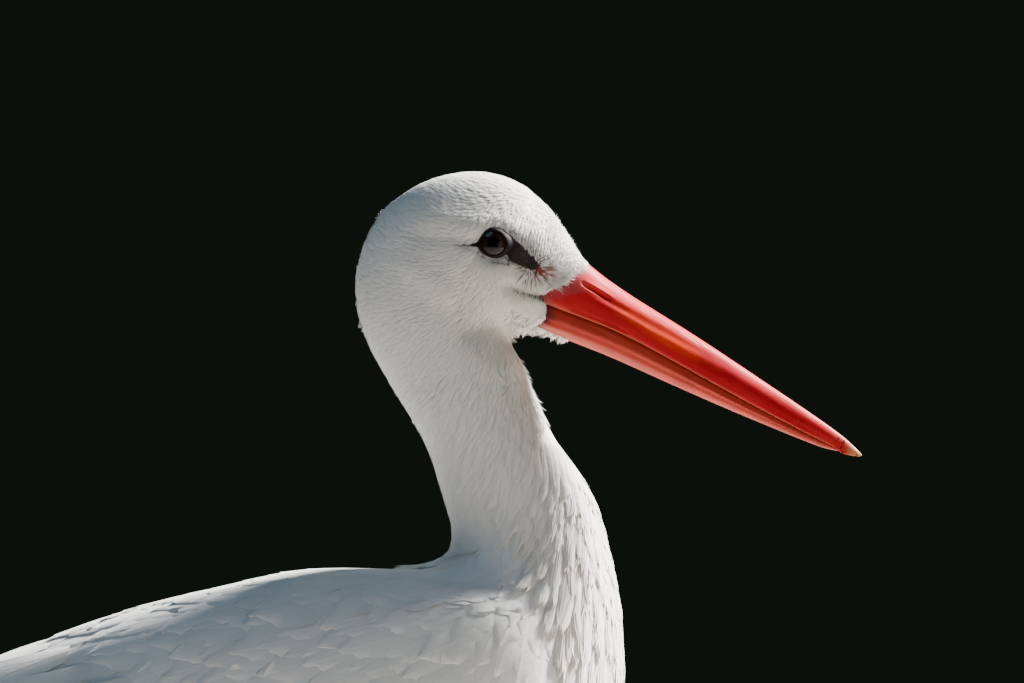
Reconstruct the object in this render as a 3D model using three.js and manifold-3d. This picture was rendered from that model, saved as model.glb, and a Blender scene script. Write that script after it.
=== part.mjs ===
// A standing white stork, life size, as a still museum model.
// Millimetres, +Z up, +X towards the bill, the sagittal plane is Y = 0. Places along the body are
// measured from the top of the crown (x = 0) and up from the floor (z = 0); at the end the whole bird
// is slid along X, so that the origin lies on the floor under the middle of its length.
import * as THREE from "three";
import { mergeVertices } from "three/addons/utils/BufferGeometryUtils.js";
import Module from "manifold-3d";

const wasm = await Module();
wasm.setup();

// ---- Driving sizes ----
const GAP = 0.3; // clearance between neighbouring solids
const RING_POINTS = 20; // points round a section of the body
const HALF_STANCE = 38; // midline to the middle of each foot
const FOOT_X = -146; // where the tarsus meets the foot
const ANKLE_SETBACK = 20; // how far the ankle lies behind that
const ANKLE_HEIGHT = 236;
const TROUSER_EDGE = 352; // height at which the feathering of the leg ends
const EYE = { x: 9, y: 17.2, z: 864, radius: 8.4 };

const at = (x, z, y = 0) => new THREE.Vector3(x, y, z);

// ---- Solids: closed geometry to and from the boolean library ----
function solidOf(geometry) {
  const bare = geometry.index ? geometry.toNonIndexed() : geometry.clone();
  bare.deleteAttribute("normal");
  bare.deleteAttribute("uv");
  const merged = mergeVertices(bare, 1e-4);
  return new wasm.Manifold(
    new wasm.Mesh({
      numProp: 3,
      vertProperties: merged.attributes.position.array,
      triVerts: new Uint32Array(merged.index.array),
    }),
  );
}

function geometryOf(solid) {
  const mesh = solid.getMesh();
  const geometry = new THREE.BufferGeometry();
  geometry.setAttribute("position", new THREE.BufferAttribute(mesh.vertProperties, 3));
  geometry.setIndex(new THREE.BufferAttribute(mesh.triVerts, 1));
  geometry.computeVertexNormals();
  return geometry;
}

const joined = (solids) => solids.reduce((all, one) => all.add(one));
const mirrored = (solid) => solid.mirror([0, 1, 0]);

// The main body of a solid, without the slivers that a cut can leave beside it.
const mainBody = (solid) => solid.decompose().sort((a, b) => b.volume() - a.volume())[0];

// A closed body through rings of equally many points, each ring running the same way round. The
// diagonals of its first and second half mirror each other, so that the body's two sides match. The
// sign of the volume says whether the faces came out inside out.
function loft(rings) {
  const count = rings[0].length;
  const points = rings.flat();
  const faces = [];
  for (let i = 0; i + 1 < rings.length; i++)
    for (let k = 0; k < count; k++) {
      const [a, b] = [i * count + k, i * count + ((k + 1) % count)];
      if (k < count / 2) faces.push(a, b, b + count, a, b + count, a + count);
      else faces.push(a, b, a + count, b, b + count, a + count);
    }
  const cap = (first, order) => {
    const middle = new THREE.Vector3();
    for (let k = 0; k < count; k++) middle.add(points[first + k]);
    const tip = points.push(middle.divideScalar(count)) - 1;
    for (let k = 0; k < count; k++) {
      const side = [first + k, first + ((k + 1) % count)];
      faces.push(tip, side[order], side[1 - order]);
    }
  };
  cap(0, 1);
  cap((rings.length - 1) * count, 0);
  let volume = 0;
  for (let i = 0; i < faces.length; i += 3)
    volume += points[faces[i]].dot(points[faces[i + 1]].clone().cross(points[faces[i + 2]]));
  if (volume < 0) faces.reverse();
  const geometry = new THREE.BufferGeometry();
  const numbers = points.flatMap((p) => p.toArray());
  geometry.setAttribute("position", new THREE.Float32BufferAttribute(numbers, 3));
  geometry.setIndex(faces);
  return solidOf(geometry);
}

// A prism through the whole bird, from an outline of [x, z] corners drawn in the side view.
function sideRegion(outline, halfDepth = 120) {
  const shape = new THREE.Shape(outline.map(([x, z]) => new THREE.Vector2(x, z)));
  const prism = new THREE.ExtrudeGeometry(shape, { depth: 2 * halfDepth, bevelEnabled: false });
  return solidOf(prism.rotateX(Math.PI / 2).translate(0, halfDepth, 0));
}

// Smooth reading of a list of stations at a fractional index: every field is a number, and each is
// carried through the stations by a Catmull-Rom spline.
function between(stations, index) {
  const last = stations.length - 1;
  const i = Math.min(Math.floor(index), last - 1);
  const t = index - i;
  const station = (k) => stations[Math.max(0, Math.min(last, k))];
  const found = {};
  for (const field of Object.keys(stations[0])) {
    const [a, b, c, d] = [-1, 0, 1, 2].map((k) => station(i + k)[field]);
    const cubic = 3 * (b - c) + d - a;
    found[field] = b + 0.5 * t * (c - a + t * (2 * a - 5 * b + 4 * c - d + t * cubic));
  }
  return found;
}

const spread = (from, to, steps) =>
  Array.from({ length: steps + 1 }, (_, i) => from + ((to - from) * i) / steps);
const fullTurn = (points) => spread(0, 2 * Math.PI, points).slice(0, -1);

// ---- Head, neck and trunk with their plumage: one loft from the bill's root to the tail ----
// Each station is a section across the sagittal plane. (bx, bz) is its point on the crown, nape and
// back, (fx, fz) its point on the throat, breast and belly, wide is half its width, and egg moves the
// widest place towards the back (positive) or the front (negative).
const BODY = [
  { bx: 60, bz: 849, fx: 52, fz: 815, wide: 11.5, egg: 0 },
  { bx: 50.5, bz: 861, fx: 38, fz: 819, wide: 13.5, egg: 0 },
  { bx: 38, bz: 881.5, fx: 29, fz: 820, wide: 17, egg: -0.1 },
  { bx: 19, bz: 896, fx: 22.5, fz: 820.5, wide: 21.5, egg: -0.1 },
  { bx: -2, bz: 900, fx: 19, fz: 820.5, wide: 24.5, egg: -0.1 },
  { bx: -26, bz: 894.5, fx: 17, fz: 820, wide: 26.5, egg: 0 },
  { bx: -46, bz: 879, fx: 16.5, fz: 819, wide: 28, egg: 0.1 },
  { bx: -56, bz: 858, fx: 17, fz: 817.5, wide: 28.5, egg: 0.1 },
  { bx: -57.6, bz: 836, fx: 19.5, fz: 814.5, wide: 29, egg: 0.1 },
  { bx: -50, bz: 811, fx: 23.5, fz: 808, wide: 29, egg: 0 },
  { bx: -36, bz: 787, fx: 29, fz: 793, wide: 29.5, egg: 0 },
  { bx: -22, bz: 762.5, fx: 42, fz: 768.5, wide: 31, egg: 0 },
  { bx: -14.5, bz: 732, fx: 59.5, fz: 742, wide: 35, egg: 0 },
  { bx: -14.5, bz: 718.5, fx: 67.5, fz: 717, wide: 42, egg: -0.05 },
  { bx: -24, bz: 711.5, fx: 72.5, fz: 695, wide: 50, egg: -0.05 },
  { bx: -42, bz: 710.5, fx: 73.5, fz: 667, wide: 59, egg: 0 },
  { bx: -68, bz: 711.5, fx: 69, fz: 632, wide: 66, egg: 0 },
  { bx: -98, bz: 708.5, fx: 52, fz: 590, wide: 71, egg: 0 },
  { bx: -130, bz: 701, fx: 20, fz: 548, wide: 72, egg: 0 },
  { bx: -166, bz: 692, fx: -35, fz: 511, wide: 70, egg: 0 },
  { bx: -204, bz: 679, fx: -105, fz: 493, wide: 65, egg: 0 },
  { bx: -246, bz: 657, fx: -180, fz: 494, wide: 56, egg: 0 },
  { bx: -290, bz: 626, fx: -248, fz: 508, wide: 45, egg: 0 },
  { bx: -330, bz: 592, fx: -305, fz: 524, wide: 32, egg: 0 },
  { bx: -362, bz: 562, fx: -350, fz: 531, wide: 21, egg: 0 },
];
// Stations at which the body is parted.
const HEAD_END = 7.4;
const NECK_MIDDLE = 10.3;
const NECK_END = 13;
const TRUNK_END = BODY.length - 1;
const TRUNK_STEPS = 17;

function bodyRing(index, grow) {
  const s = between(BODY, index);
  const back = at(s.bx, s.bz);
  const front = at(s.fx, s.fz);
  const middle = back.clone().add(front).divideScalar(2);
  const reach = back.clone().sub(middle);
  reach.setLength(reach.length() + grow);
  return fullTurn(RING_POINTS).map((turn) => {
    const aside = (s.wide + grow) * Math.sin(turn) * (1 + s.egg * Math.cos(turn));
    return middle.clone().addScaledVector(reach, Math.cos(turn)).add(at(0, 0, aside));
  });
}

// The stretch of the body between two stations. Its flat ends are drawn in by half a gap, or pushed out
// by as much as the stretch grows.
function bodyStretch(from, to, steps, grow = 0) {
  const rings = spread(from, to, steps).map((index) => bodyRing(index, grow));
  const drawIn = (ring, inner) => {
    const upright = ring[0].clone().sub(ring[RING_POINTS / 2]);
    const normal = upright.cross(at(0, 0, 1)).normalize();
    const half = RING_POINTS / 2;
    const inwards = inner[0].clone().sub(ring[0]).add(inner[half]).sub(ring[half]);
    normal.multiplyScalar(Math.sign(normal.dot(inwards)) * (GAP / 2 - grow));
    ring.forEach((p) => p.add(normal));
  };
  drawIn(rings[0], rings[1]);
  drawIn(rings.at(-1), rings.at(-2));
  return loft(rings);
}

const neckUpper = bodyStretch(HEAD_END, NECK_MIDDLE, 7);
const neckLower = bodyStretch(NECK_MIDDLE, NECK_END, 6);
const trunk = bodyStretch(NECK_END, TRUNK_END, TRUNK_STEPS);
const trunkSpace = bodyStretch(
  NECK_END - (TRUNK_END - NECK_END) / TRUNK_STEPS,
  TRUNK_END,
  TRUNK_STEPS + 1,
  2 * GAP,
);

// ---- Bill: two horny halves that meet along the mouth line ----
// Heights of the culmen, mouth and keel at each x, and half the width at the mouth.
const BILL = [
  { x: 27, culmen: 866, mouth: 841.5, keel: 822, wide: 15 },
  { x: 48, culmen: 857.5, mouth: 830.5, keel: 816.7, wide: 13.4 },
  { x: 81, culmen: 835, mouth: 815.3, keel: 802.5, wide: 10.6 },
  { x: 118, culmen: 812, mouth: 794.5, keel: 786, wide: 8.2 },
  { x: 150, culmen: 789.8, mouth: 777.5, keel: 772.8, wide: 5.4 },
  { x: 173, culmen: 774.6, mouth: 765.8, keel: 763.8, wide: 3.2 },
  { x: 183.5, culmen: 765, mouth: 761.8, keel: 761, wide: 1.6 },
];
// The plumage ends along the first of these corners, from the forehead back to the corner of the
// mouth and forwards again beneath it. The rest close the outline round the bill.
const BILL_REGION = [
  [57, 853.2],
  [29.5, 840.2],
  [36.5, 833],
  [36, 826],
  [50, 810],
  [200, 720],
  [200, 880],
  [57, 880],
];
const NOSTRIL = { x: 66, y: 9.5, z: 838.5, halfLength: 8, halfDepth: 3.2, halfHeight: 1, slope: 0.62 };

function billHalf(isUpper) {
  const fullness = isUpper ? 1.7 : 1.45;
  const widthShare = isUpper ? 1 : 0.93; // the lower half shuts inside the upper one
  const rings = spread(0, BILL.length - 1, 11).map((index) => {
    const s = between(BILL, index);
    const mouth = s.mouth + (isUpper ? GAP / 2 : -GAP / 2);
    const height = (isUpper ? s.culmen : s.keel) - mouth;
    return spread(0, Math.PI, 10).map((turn) => {
      const rise = height * Math.pow(Math.sin(turn), 1 / fullness);
      return at(s.x, mouth + rise, s.wide * widthShare * Math.cos(turn));
    });
  });
  return loft(rings);
}

function nostril(side) {
  const slit = new THREE.SphereGeometry(1, 8, 6);
  slit.scale(NOSTRIL.halfLength, NOSTRIL.halfDepth, NOSTRIL.halfHeight).rotateY(NOSTRIL.slope);
  return solidOf(slit.translate(NOSTRIL.x, side * NOSTRIL.y, NOSTRIL.z));
}

const billRegion = sideRegion(BILL_REGION);
const billUpper = billHalf(true).intersect(billRegion).subtract(nostril(1)).subtract(nostril(-1));
const billLower = billHalf(false).intersect(billRegion);

// ---- Eyes and head ----
const eyeball = (side, grow = 0) =>
  solidOf(
    new THREE.SphereGeometry(EYE.radius + grow, 12, 8).translate(EYE.x, side * EYE.y, EYE.z),
  );

const head = bodyStretch(0, HEAD_END, 14)
  .subtract(billRegion.translate([-GAP, 0, 0]))
  .subtract(eyeball(1, GAP))
  .subtract(eyeball(-1, GAP));

// ---- Tail: white feathers closed to a narrow, rounded fan, its sides hanging a little ----
const TAIL = [
  { x: -352, z: 545, wide: 17, thick: 9 },
  { x: -390, z: 531, wide: 25, thick: 6 },
  { x: -430, z: 514, wide: 31, thick: 4 },
  { x: -462, z: 500, wide: 33, thick: 3 },
  { x: -484, z: 490, wide: 21, thick: 2.4 },
];
const TAIL_DROOP = 0.006; // drop of the fan's surface, per square millimetre from the midline

function tailSolid(grow = 0) {
  const rings = spread(0, TAIL.length - 1, 7).map((index) => {
    const s = between(TAIL, index);
    const wide = s.wide + grow;
    const surface = (share, drop) =>
      at(s.x, s.z - TAIL_DROOP * (share * wide) ** 2 - drop, share * wide);
    const upper = spread(-1, 1, 6).map((share) => surface(share, -grow));
    const lower = spread(1, -1, 6).map((share) => surface(share, s.thick + grow));
    return [...upper, ...lower];
  });
  return loft(rings);
}

const tail = tailSolid().subtract(trunkSpace);
const tailSpace = tailSolid(GAP);

// ---- Wings, folded: a curved plate over each side ----
// Its upper edge (topZ, topY) lies beside the midline of the back and its lower edge (lowZ, lowY) on
// the flank; wide is its greatest distance from the midline between them. thick is the depth of the
// coverts, and stack that of the folded flight feathers, which fill the space beside the trunk.
const WING = [
  { x: 37, topZ: 668, topY: 56, lowZ: 634, lowY: 56, wide: 60, thick: 4, stack: 4 },
  { x: 28, topZ: 696, topY: 52, lowZ: 610, lowY: 58, wide: 69, thick: 12, stack: 12 },
  { x: 0, topZ: 704, topY: 49, lowZ: 580, lowY: 60, wide: 79, thick: 16, stack: 16 },
  { x: -40, topZ: 709, topY: 34, lowZ: 550, lowY: 60, wide: 86, thick: 16, stack: 18 },
  { x: -100, topZ: 707, topY: 22, lowZ: 531, lowY: 57, wide: 90, thick: 16, stack: 24 },
  { x: -160, topZ: 695, topY: 16, lowZ: 521, lowY: 54, wide: 87, thick: 15, stack: 30 },
  { x: -220, topZ: 673, topY: 10, lowZ: 514, lowY: 49, wide: 77, thick: 13, stack: 34 },
  { x: -280, topZ: 640, topY: 6, lowZ: 509, lowY: 41, wide: 62, thick: 10, stack: 40 },
  { x: -340, topZ: 604, topY: 4.5, lowZ: 506, lowY: 34, wide: 46, thick: 7, stack: 40 },
  { x: -400, topZ: 570, topY: 3.5, lowZ: 502, lowY: 24, wide: 31, thick: 5, stack: 30 },
  { x: -450, topZ: 545, topY: 3, lowZ: 497, lowY: 16, wide: 20, thick: 3.5, stack: 19 },
  { x: -500, topZ: 520, topY: 3, lowZ: 491, lowY: 9, wide: 11, thick: 2.5, stack: 10 },
];

const NEAREST_AXIS = 0.93; // share of the way to the midline that the stack may fill

// A point of the wing's outer surface: turn runs from 0 at the upper edge to PI at the lower one.
function wingPoint(s, turn) {
  const share = (1 - Math.cos(turn)) / 2;
  const bulge = s.wide - (s.topY + s.lowY) / 2;
  const y = s.topY + (s.lowY - s.topY) * share + bulge * Math.pow(Math.sin(turn), 0.85);
  return at(s.x, s.topZ + (s.lowZ - s.topZ) * share, y);
}

function wingSolid(grow = 0, depth = "thick") {
  const rings = spread(0, WING.length - 1, 13).map((index) => {
    const s = between(WING, index);
    s.topZ += grow;
    s.lowZ -= grow;
    s.wide += grow;
    const axis = at(s.x, (s.topZ + s.lowZ) / 2);
    const outer = spread(0, Math.PI, 7).map((turn) => wingPoint(s, turn));
    const inner = outer.map((p) => {
      const inwards = axis.clone().sub(p);
      const reach = Math.min(s[depth] + 2 * grow, NEAREST_AXIS * inwards.length());
      return p.clone().add(inwards.setLength(reach));
    });
    return [...outer, ...inner.reverse()];
  });
  return loft(rings);
}

// ---- Flight feathers: the black part of the wing, below and behind its white coverts ----
// The outline runs along the border with the white, round the staggered tips of the primaries, and
// back along the wing's lower edge, where the ends of the secondaries hang.
const WHITE_BORDER = [
  [-52, 556],
  [-150, 580],
  [-240, 601],
  [-318, 616],
  [-348, 660],
  [-420, 580],
];
const PRIMARY_TIPS = { count: 4, from: [-418, 556], to: [-493, 496], bulge: 5 };
const SECONDARY_ENDS = { count: 5, from: [-262, 516], to: [-56, 545], bulge: 3.5 };
const TIP_LINE = [-352, -396]; // the primaries show behind this line, from its upper to its lower x
const FLIGHT_INSET = 1.6; // below the coverts' surface

// A run of equal arcs, each swelling to the left of its way by the given bulge.
function scallops(shape, { count, from, to, bulge }) {
  const step = new THREE.Vector2(to[0] - from[0], to[1] - from[1]).divideScalar(count);
  const out = new THREE.Vector2(-step.y, step.x).setLength(2 * bulge);
  for (let i = 0; i < count; i++) {
    const start = new THREE.Vector2(...from).addScaledVector(step, i);
    const peak = start.clone().addScaledVector(step, 0.62).sub(out);
    shape.quadraticCurveTo(peak.x, peak.y, start.x + step.x, start.y + step.y);
  }
}

function blackOutline() {
  const shape = new THREE.Shape(WHITE_BORDER.map(([x, z]) => new THREE.Vector2(x, z)));
  shape.lineTo(...PRIMARY_TIPS.from);
  scallops(shape, PRIMARY_TIPS);
  shape.lineTo(...SECONDARY_ENDS.from);
  scallops(shape, SECONDARY_ENDS);
  return shape.getPoints(2).map((p) => [p.x, p.y]);
}

const blackRegion = sideRegion(blackOutline());
// Everything below and behind the border, for cutting the white part.
const behindBorder = sideRegion([...WHITE_BORDER, [-560, 600], [-560, 430], [-52, 430]]);
const tipRegion = sideRegion([
  [TIP_LINE[0], 660],
  [TIP_LINE[1], 430],
  [-560, 430],
  [-560, 660],
]);
const wingSpace = wingSolid(GAP);
const coverts = wingSolid()
  .subtract(behindBorder.translate([0, 0, GAP]))
  .subtract(trunkSpace);
const flight = wingSolid(-FLIGHT_INSET, "stack")
  .intersect(blackRegion)
  .subtract(trunkSpace)
  .subtract(tailSpace);
const secondaries = flight.subtract(tipRegion.translate([GAP, 0, 0]));
const primaries = flight.intersect(tipRegion);

// ---- Legs ----
// A limb through stations of its middle line, with its half thickness fore-and-aft and sideways.
function limb(stations, steps, points = 9) {
  const rings = spread(0, stations.length - 1, steps).map((index) => {
    const s = between(stations, index);
    return fullTurn(points).map((turn) =>
      at(s.x + s.deep * Math.cos(turn), s.z, s.y + s.wide * Math.sin(turn)),
    );
  });
  return loft(rings);
}

const ANKLE_X = FOOT_X - ANKLE_SETBACK;
const TROUSER_X = FOOT_X - 6;
const ANKLE_TOP = ANKLE_HEIGHT + 16;
const ANKLE_FOOT = ANKLE_HEIGHT - 24;
const THIGH = [
  { x: FOOT_X + 6, z: 545, y: HALF_STANCE + 2, deep: 46, wide: 24 },
  { x: FOOT_X + 6, z: 500, y: HALF_STANCE + 2, deep: 44, wide: 25 },
  { x: FOOT_X + 4, z: 450, y: HALF_STANCE + 1, deep: 33, wide: 21 },
  { x: FOOT_X - 2, z: 400, y: HALF_STANCE, deep: 19, wide: 14 },
  { x: TROUSER_X, z: TROUSER_EDGE, y: HALF_STANCE, deep: 9, wide: 7.6 },
];
const SHANK = [
  { x: TROUSER_X, z: TROUSER_EDGE - GAP, y: HALF_STANCE, deep: 6.6, wide: 6 },
  { x: TROUSER_X - 6, z: 300, y: HALF_STANCE, deep: 5.8, wide: 5.2 },
  { x: ANKLE_X + 2, z: ANKLE_TOP, y: HALF_STANCE, deep: 7.2, wide: 6.6 },
];
const ANKLE = [
  { x: ANKLE_X + 2, z: ANKLE_TOP - GAP, y: HALF_STANCE, deep: 7.2, wide: 6.6 },
  { x: ANKLE_X, z: ANKLE_HEIGHT + 4, y: HALF_STANCE, deep: 10, wide: 9 },
  { x: ANKLE_X + 0.5, z: ANKLE_HEIGHT - 8, y: HALF_STANCE, deep: 9.4, wide: 8.6 },
  { x: ANKLE_X + 3, z: ANKLE_FOOT, y: HALF_STANCE, deep: 5.6, wide: 5.4 },
];
const TARSUS = [
  { x: ANKLE_X + 3, z: ANKLE_FOOT - GAP, y: HALF_STANCE, deep: 5.6, wide: 5.2 },
  { x: ANKLE_X + 9, z: 130, y: HALF_STANCE, deep: 4.9, wide: 4.3 },
  { x: FOOT_X - 3, z: 40, y: HALF_STANCE, deep: 5.2, wide: 4.8 },
  { x: FOOT_X, z: 16, y: HALF_STANCE, deep: 7, wide: 7 },
];

// ---- Feet: the sole of every toe is flat and lies on the floor ----
// heading is a toe's direction from straight ahead, outwards positive; all reaches are measured from
// the middle of the palm.
const TOES = {
  middle: { heading: 0.06, length: 78, thick: 5.2, start: 22 },
  inner: { heading: -0.5, length: 57, thick: 4.8, start: 22 },
  outer: { heading: 0.56, length: 64, thick: 4.8, start: 22 },
  hind: { heading: Math.PI - 0.25, length: 29, thick: 4.4, start: 11 },
};
const PALM_HEIGHT = 15.5;
const CLAW_LENGTH = 9;
const JOINT_SPACING = 20; // between the swellings at a toe's joints

// A section across a toe or claw, flat below where it meets the floor.
function toeRing({ heading }, reach, half, low, high, points = 8) {
  const along = new THREE.Vector3(Math.cos(heading), Math.sin(heading), 0);
  const aside = new THREE.Vector3(-along.y, along.x, 0);
  return fullTurn(points).map((turn) => {
    const rise = Math.max(0, low + (high - low) * (0.5 + 0.5 * Math.cos(turn)));
    const place = along.clone().multiplyScalar(reach);
    return place.addScaledVector(aside, half * Math.sin(turn)).add(at(0, rise));
  });
}

function toeStretch(toe, from, to) {
  const rings = spread(from, to, Math.ceil((to - from) / 12)).map((reach) => {
    const swell = 1 + 0.07 * Math.cos((2 * Math.PI * reach) / JOINT_SPACING);
    const end = reach > toe.length - 1 ? 0.75 : 1;
    const half = toe.thick * (1 - (0.32 * reach) / toe.length) * swell * end;
    return toeRing(toe, reach, half, -0.35 * half, 1.75 * half);
  });
  return loft(rings);
}

function clawSolid(toe) {
  const rings = spread(0, 1, 2).map((t) => {
    const half = 0.5 * toe.thick * (1 - 0.75 * t);
    const middle = 1 + 0.55 * toe.thick * (1 - t) ** 1.4;
    const reach = toe.length + GAP + CLAW_LENGTH * t;
    return toeRing(toe, reach, half, middle - 0.8 * half, middle + 0.8 * half, 6);
  });
  return loft(rings);
}

// The palm where the toes meet, with its small webs between the front toes' roots.
function palmSolid() {
  const knuckle = solidOf(
    new THREE.CylinderGeometry(6.5, 10, PALM_HEIGHT, 12)
      .rotateX(Math.PI / 2)
      .translate(0, 0, PALM_HEIGHT / 2),
  );
  const outline = new THREE.Shape();
  outline.moveTo(0, -6);
  outline.lineTo(18, -9.5);
  outline.quadraticCurveTo(16, -4, 21, 0);
  outline.quadraticCurveTo(16, 5, 18, 11);
  outline.lineTo(0, 6);
  const webs = new THREE.ExtrudeGeometry(outline, { depth: 3, bevelEnabled: false, curveSegments: 2 });
  const roots = Object.values(TOES).map((toe) => toeStretch(toe, 0, toe.start));
  return joined([knuckle, solidOf(webs), ...roots]);
}

// ---- Assembly ----
const finish = (color, roughness) => new THREE.MeshStandardMaterial({ color, roughness, metalness: 0 });
const WHITE_PLUMAGE = finish("#f1ede4", 0.85);
const BLACK_PLUMAGE = finish("#17161a", 0.5);
const BILL_UPPER_RED = finish("#c8301f", 0.38);
const BILL_LOWER_RED = finish("#c4492f", 0.42);
const LEG_RED = finish("#c9412c", 0.6);
const CLAW_HORN = finish("#3a241f", 0.45);
const EYE_DARK = finish("#140d0a", 0.08);

const stork = new THREE.Group();
function add(name, solid, material) {
  const mesh = new THREE.Mesh(geometryOf(mainBody(solid)), material);
  mesh.name = name;
  stork.add(mesh);
}

add("head", head, WHITE_PLUMAGE);
add("bill_upper", billUpper, BILL_UPPER_RED);
add("bill_lower", billLower, BILL_LOWER_RED);
add("neck_upper", neckUpper, WHITE_PLUMAGE);
add("neck_lower", neckLower, WHITE_PLUMAGE);
add("trunk", trunk, WHITE_PLUMAGE);
add("tail", tail, WHITE_PLUMAGE);

const thigh = limb(THIGH, 7, 12).subtract(trunkSpace).subtract(wingSpace);
const palm = palmSolid().translate([FOOT_X, HALF_STANCE, 0]);
const tarsus = limb(TARSUS, 7).subtract(palm.add(palm.translate([0, 0, GAP])));

for (const side of ["left", "right"]) {
  const placed = (solid) => (side === "left" ? solid : mirrored(solid));
  add(`eye_${side}`, placed(eyeball(1)), EYE_DARK);
  add(`wing_${side}`, placed(coverts), WHITE_PLUMAGE);
  add(`secondaries_${side}`, placed(secondaries), BLACK_PLUMAGE);
  add(`primaries_${side}`, placed(primaries), BLACK_PLUMAGE);
  add(`thigh_${side}`, placed(thigh), WHITE_PLUMAGE);
  add(`shank_${side}`, placed(limb(SHANK, 4)), LEG_RED);
  add(`ankle_${side}`, placed(limb(ANKLE, 6)), LEG_RED);
  add(`tarsus_${side}`, placed(tarsus), LEG_RED);
  add(`palm_${side}`, placed(palm), LEG_RED);
  for (const [name, toe] of Object.entries(TOES)) {
    const onFoot = (solid) => placed(solid.translate([FOOT_X, HALF_STANCE, 0]));
    add(`toe_${name}_${side}`, onFoot(toeStretch(toe, toe.start + GAP, toe.length)), LEG_RED);
    add(`claw_${name}_${side}`, onFoot(clawSolid(toe)), CLAW_HORN);
  }
}

// The origin goes under the middle of the bird's length, from the bill's tip to the wings' tips.
const box = new THREE.Box3().setFromObject(stork);
stork.position.x = -(box.min.x + box.max.x) / 2;

export default stork;
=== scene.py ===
import heapq
import math

import bmesh
import bpy
import numpy as np
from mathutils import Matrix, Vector
from mathutils.bvhtree import BVHTree
from mathutils.kdtree import KDTree


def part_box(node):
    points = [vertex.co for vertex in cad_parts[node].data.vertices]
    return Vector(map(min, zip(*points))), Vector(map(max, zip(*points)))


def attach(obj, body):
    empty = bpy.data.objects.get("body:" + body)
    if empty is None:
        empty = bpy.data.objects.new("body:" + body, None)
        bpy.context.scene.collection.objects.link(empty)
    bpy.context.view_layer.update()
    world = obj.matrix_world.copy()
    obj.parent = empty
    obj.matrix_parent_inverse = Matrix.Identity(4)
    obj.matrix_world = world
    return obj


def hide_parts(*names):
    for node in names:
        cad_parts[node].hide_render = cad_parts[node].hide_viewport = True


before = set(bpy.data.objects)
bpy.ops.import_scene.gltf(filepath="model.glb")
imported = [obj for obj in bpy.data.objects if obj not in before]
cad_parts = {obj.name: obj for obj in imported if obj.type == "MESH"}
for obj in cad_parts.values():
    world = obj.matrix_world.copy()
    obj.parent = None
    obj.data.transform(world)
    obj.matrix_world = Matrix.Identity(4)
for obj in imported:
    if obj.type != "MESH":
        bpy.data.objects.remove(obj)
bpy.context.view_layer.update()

# ---- Camera, lights and floor ----
# A long lens level with the bird's neck takes the head, the neck and the fore part of the back. One
# broad lamp above, in front of the bill and beyond the bird is the main light; two weak ones fill.
VIEW_WIDTH = 0.4915
LENS = 300
crown_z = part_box("head")[1].z
bill_tip_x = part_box("bill_upper")[1].x
aim = Vector((bill_tip_x - 0.1657, 0, crown_z - 0.0828))


def placed(name, data):
    """A new object with the given mesh, light or camera, in the scene."""
    new = bpy.data.objects.new(name, data)
    bpy.context.scene.collection.objects.link(new)
    return new


camera = placed("camera", bpy.data.cameras.new("camera"))
camera.data.lens = LENS
camera.data.sensor_width = 36
camera.location = aim - Vector((0, VIEW_WIDTH * LENS / 36, 0))
camera.rotation_euler = (math.pi / 2, 0, 0)
camera.data.clip_end = 50
bpy.context.scene.camera = camera


def lamp(name, place, size, watts, colour):
    light = bpy.data.lights.new(name, "AREA")
    light.shape = "DISK"
    light.size = size
    light.energy = watts
    light.color = colour
    lamp_object = placed(name, light)
    lamp_object.location = aim + Vector(place)
    lamp_object.rotation_euler = (-Vector(place)).to_track_quat("-Z", "Y").to_euler()


lamp("key_light", (2.15, 1.05, 1.75), 0.6, 960, (1.0, 0.975, 0.935))
lamp("sky_fill", (-1.1, -1.1, 2.2), 2.0, 19, (0.50, 0.74, 1.0))
lamp("warm_fill", (1.7, -2.3, -0.3), 1.6, 6, (1.0, 0.76, 0.54))

world = bpy.data.worlds.new("studio")
world.use_nodes = True
world.node_tree.nodes["Background"].inputs["Color"].default_value = (0.006, 0.009, 0.006, 1)
bpy.context.scene.world = world


def mesh_of(name, bm):
    """The bmesh as a new mesh; the bmesh is freed."""
    mesh = bpy.data.meshes.new(name)
    bm.to_mesh(mesh)
    bm.free()
    return mesh


def material(name, **sockets):
    """A new material, its shader's plain values set, and the shader."""
    made = bpy.data.materials.new(name)
    made.use_nodes = True
    shader = made.node_tree.nodes["Principled BSDF"]
    for socket, value in sockets.items():
        shader.inputs[socket.replace("_", " ").title().replace("Ior", "IOR")].default_value = value
    return made, shader


bm = bmesh.new()
bmesh.ops.create_circle(bm, cap_ends=True, segments=96, radius=2.2)
floor_mesh = mesh_of("floor", bm)
floor_mesh.materials.append(material("floor_paint", base_color=(0.46, 0.44, 0.41, 1), roughness=0.7)[0])
placed("floor", floor_mesh)

# ---- Bill ----
# Two long horny halves that taper to a point, the upper one deep red, with a nostril slit near its base
# and a furrow in front of it, the lower one paler, its edge shut inside the upper one's.
SIDES = {"left": 1, "right": -1}
EYE = {side: (lambda lo, hi: (lo + hi) / 2)(*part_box(f"eye_{side}")) for side in SIDES}
EYE_RADIUS = (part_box("eye_left")[1].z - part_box("eye_left")[0].z) / 2
BILL_RINGS, BILL_POINTS = 110, 40
upper_lo, upper_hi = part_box("bill_upper")
BILL_BACK = upper_hi.x - 0.158
BILL_TIP = upper_hi.x + 0.0022
LOWER_TIP = BILL_TIP - 0.0095
# The edge of the plumage over the bill's base, from the forehead down to the chin: ahead of the eye and
# above it. It runs back in a notch to the corner of the mouth.
BILL_EDGE = [(0.0474, -0.0097), (0.0403, -0.0149), (0.0364, -0.0192), (0.0320, -0.0216), (0.0270, -0.0230),
             (0.0205, -0.0240), (0.0249, -0.0273), (0.0262, -0.0310), (0.0262, -0.0364), (0.0198, -0.0398)]


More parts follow.
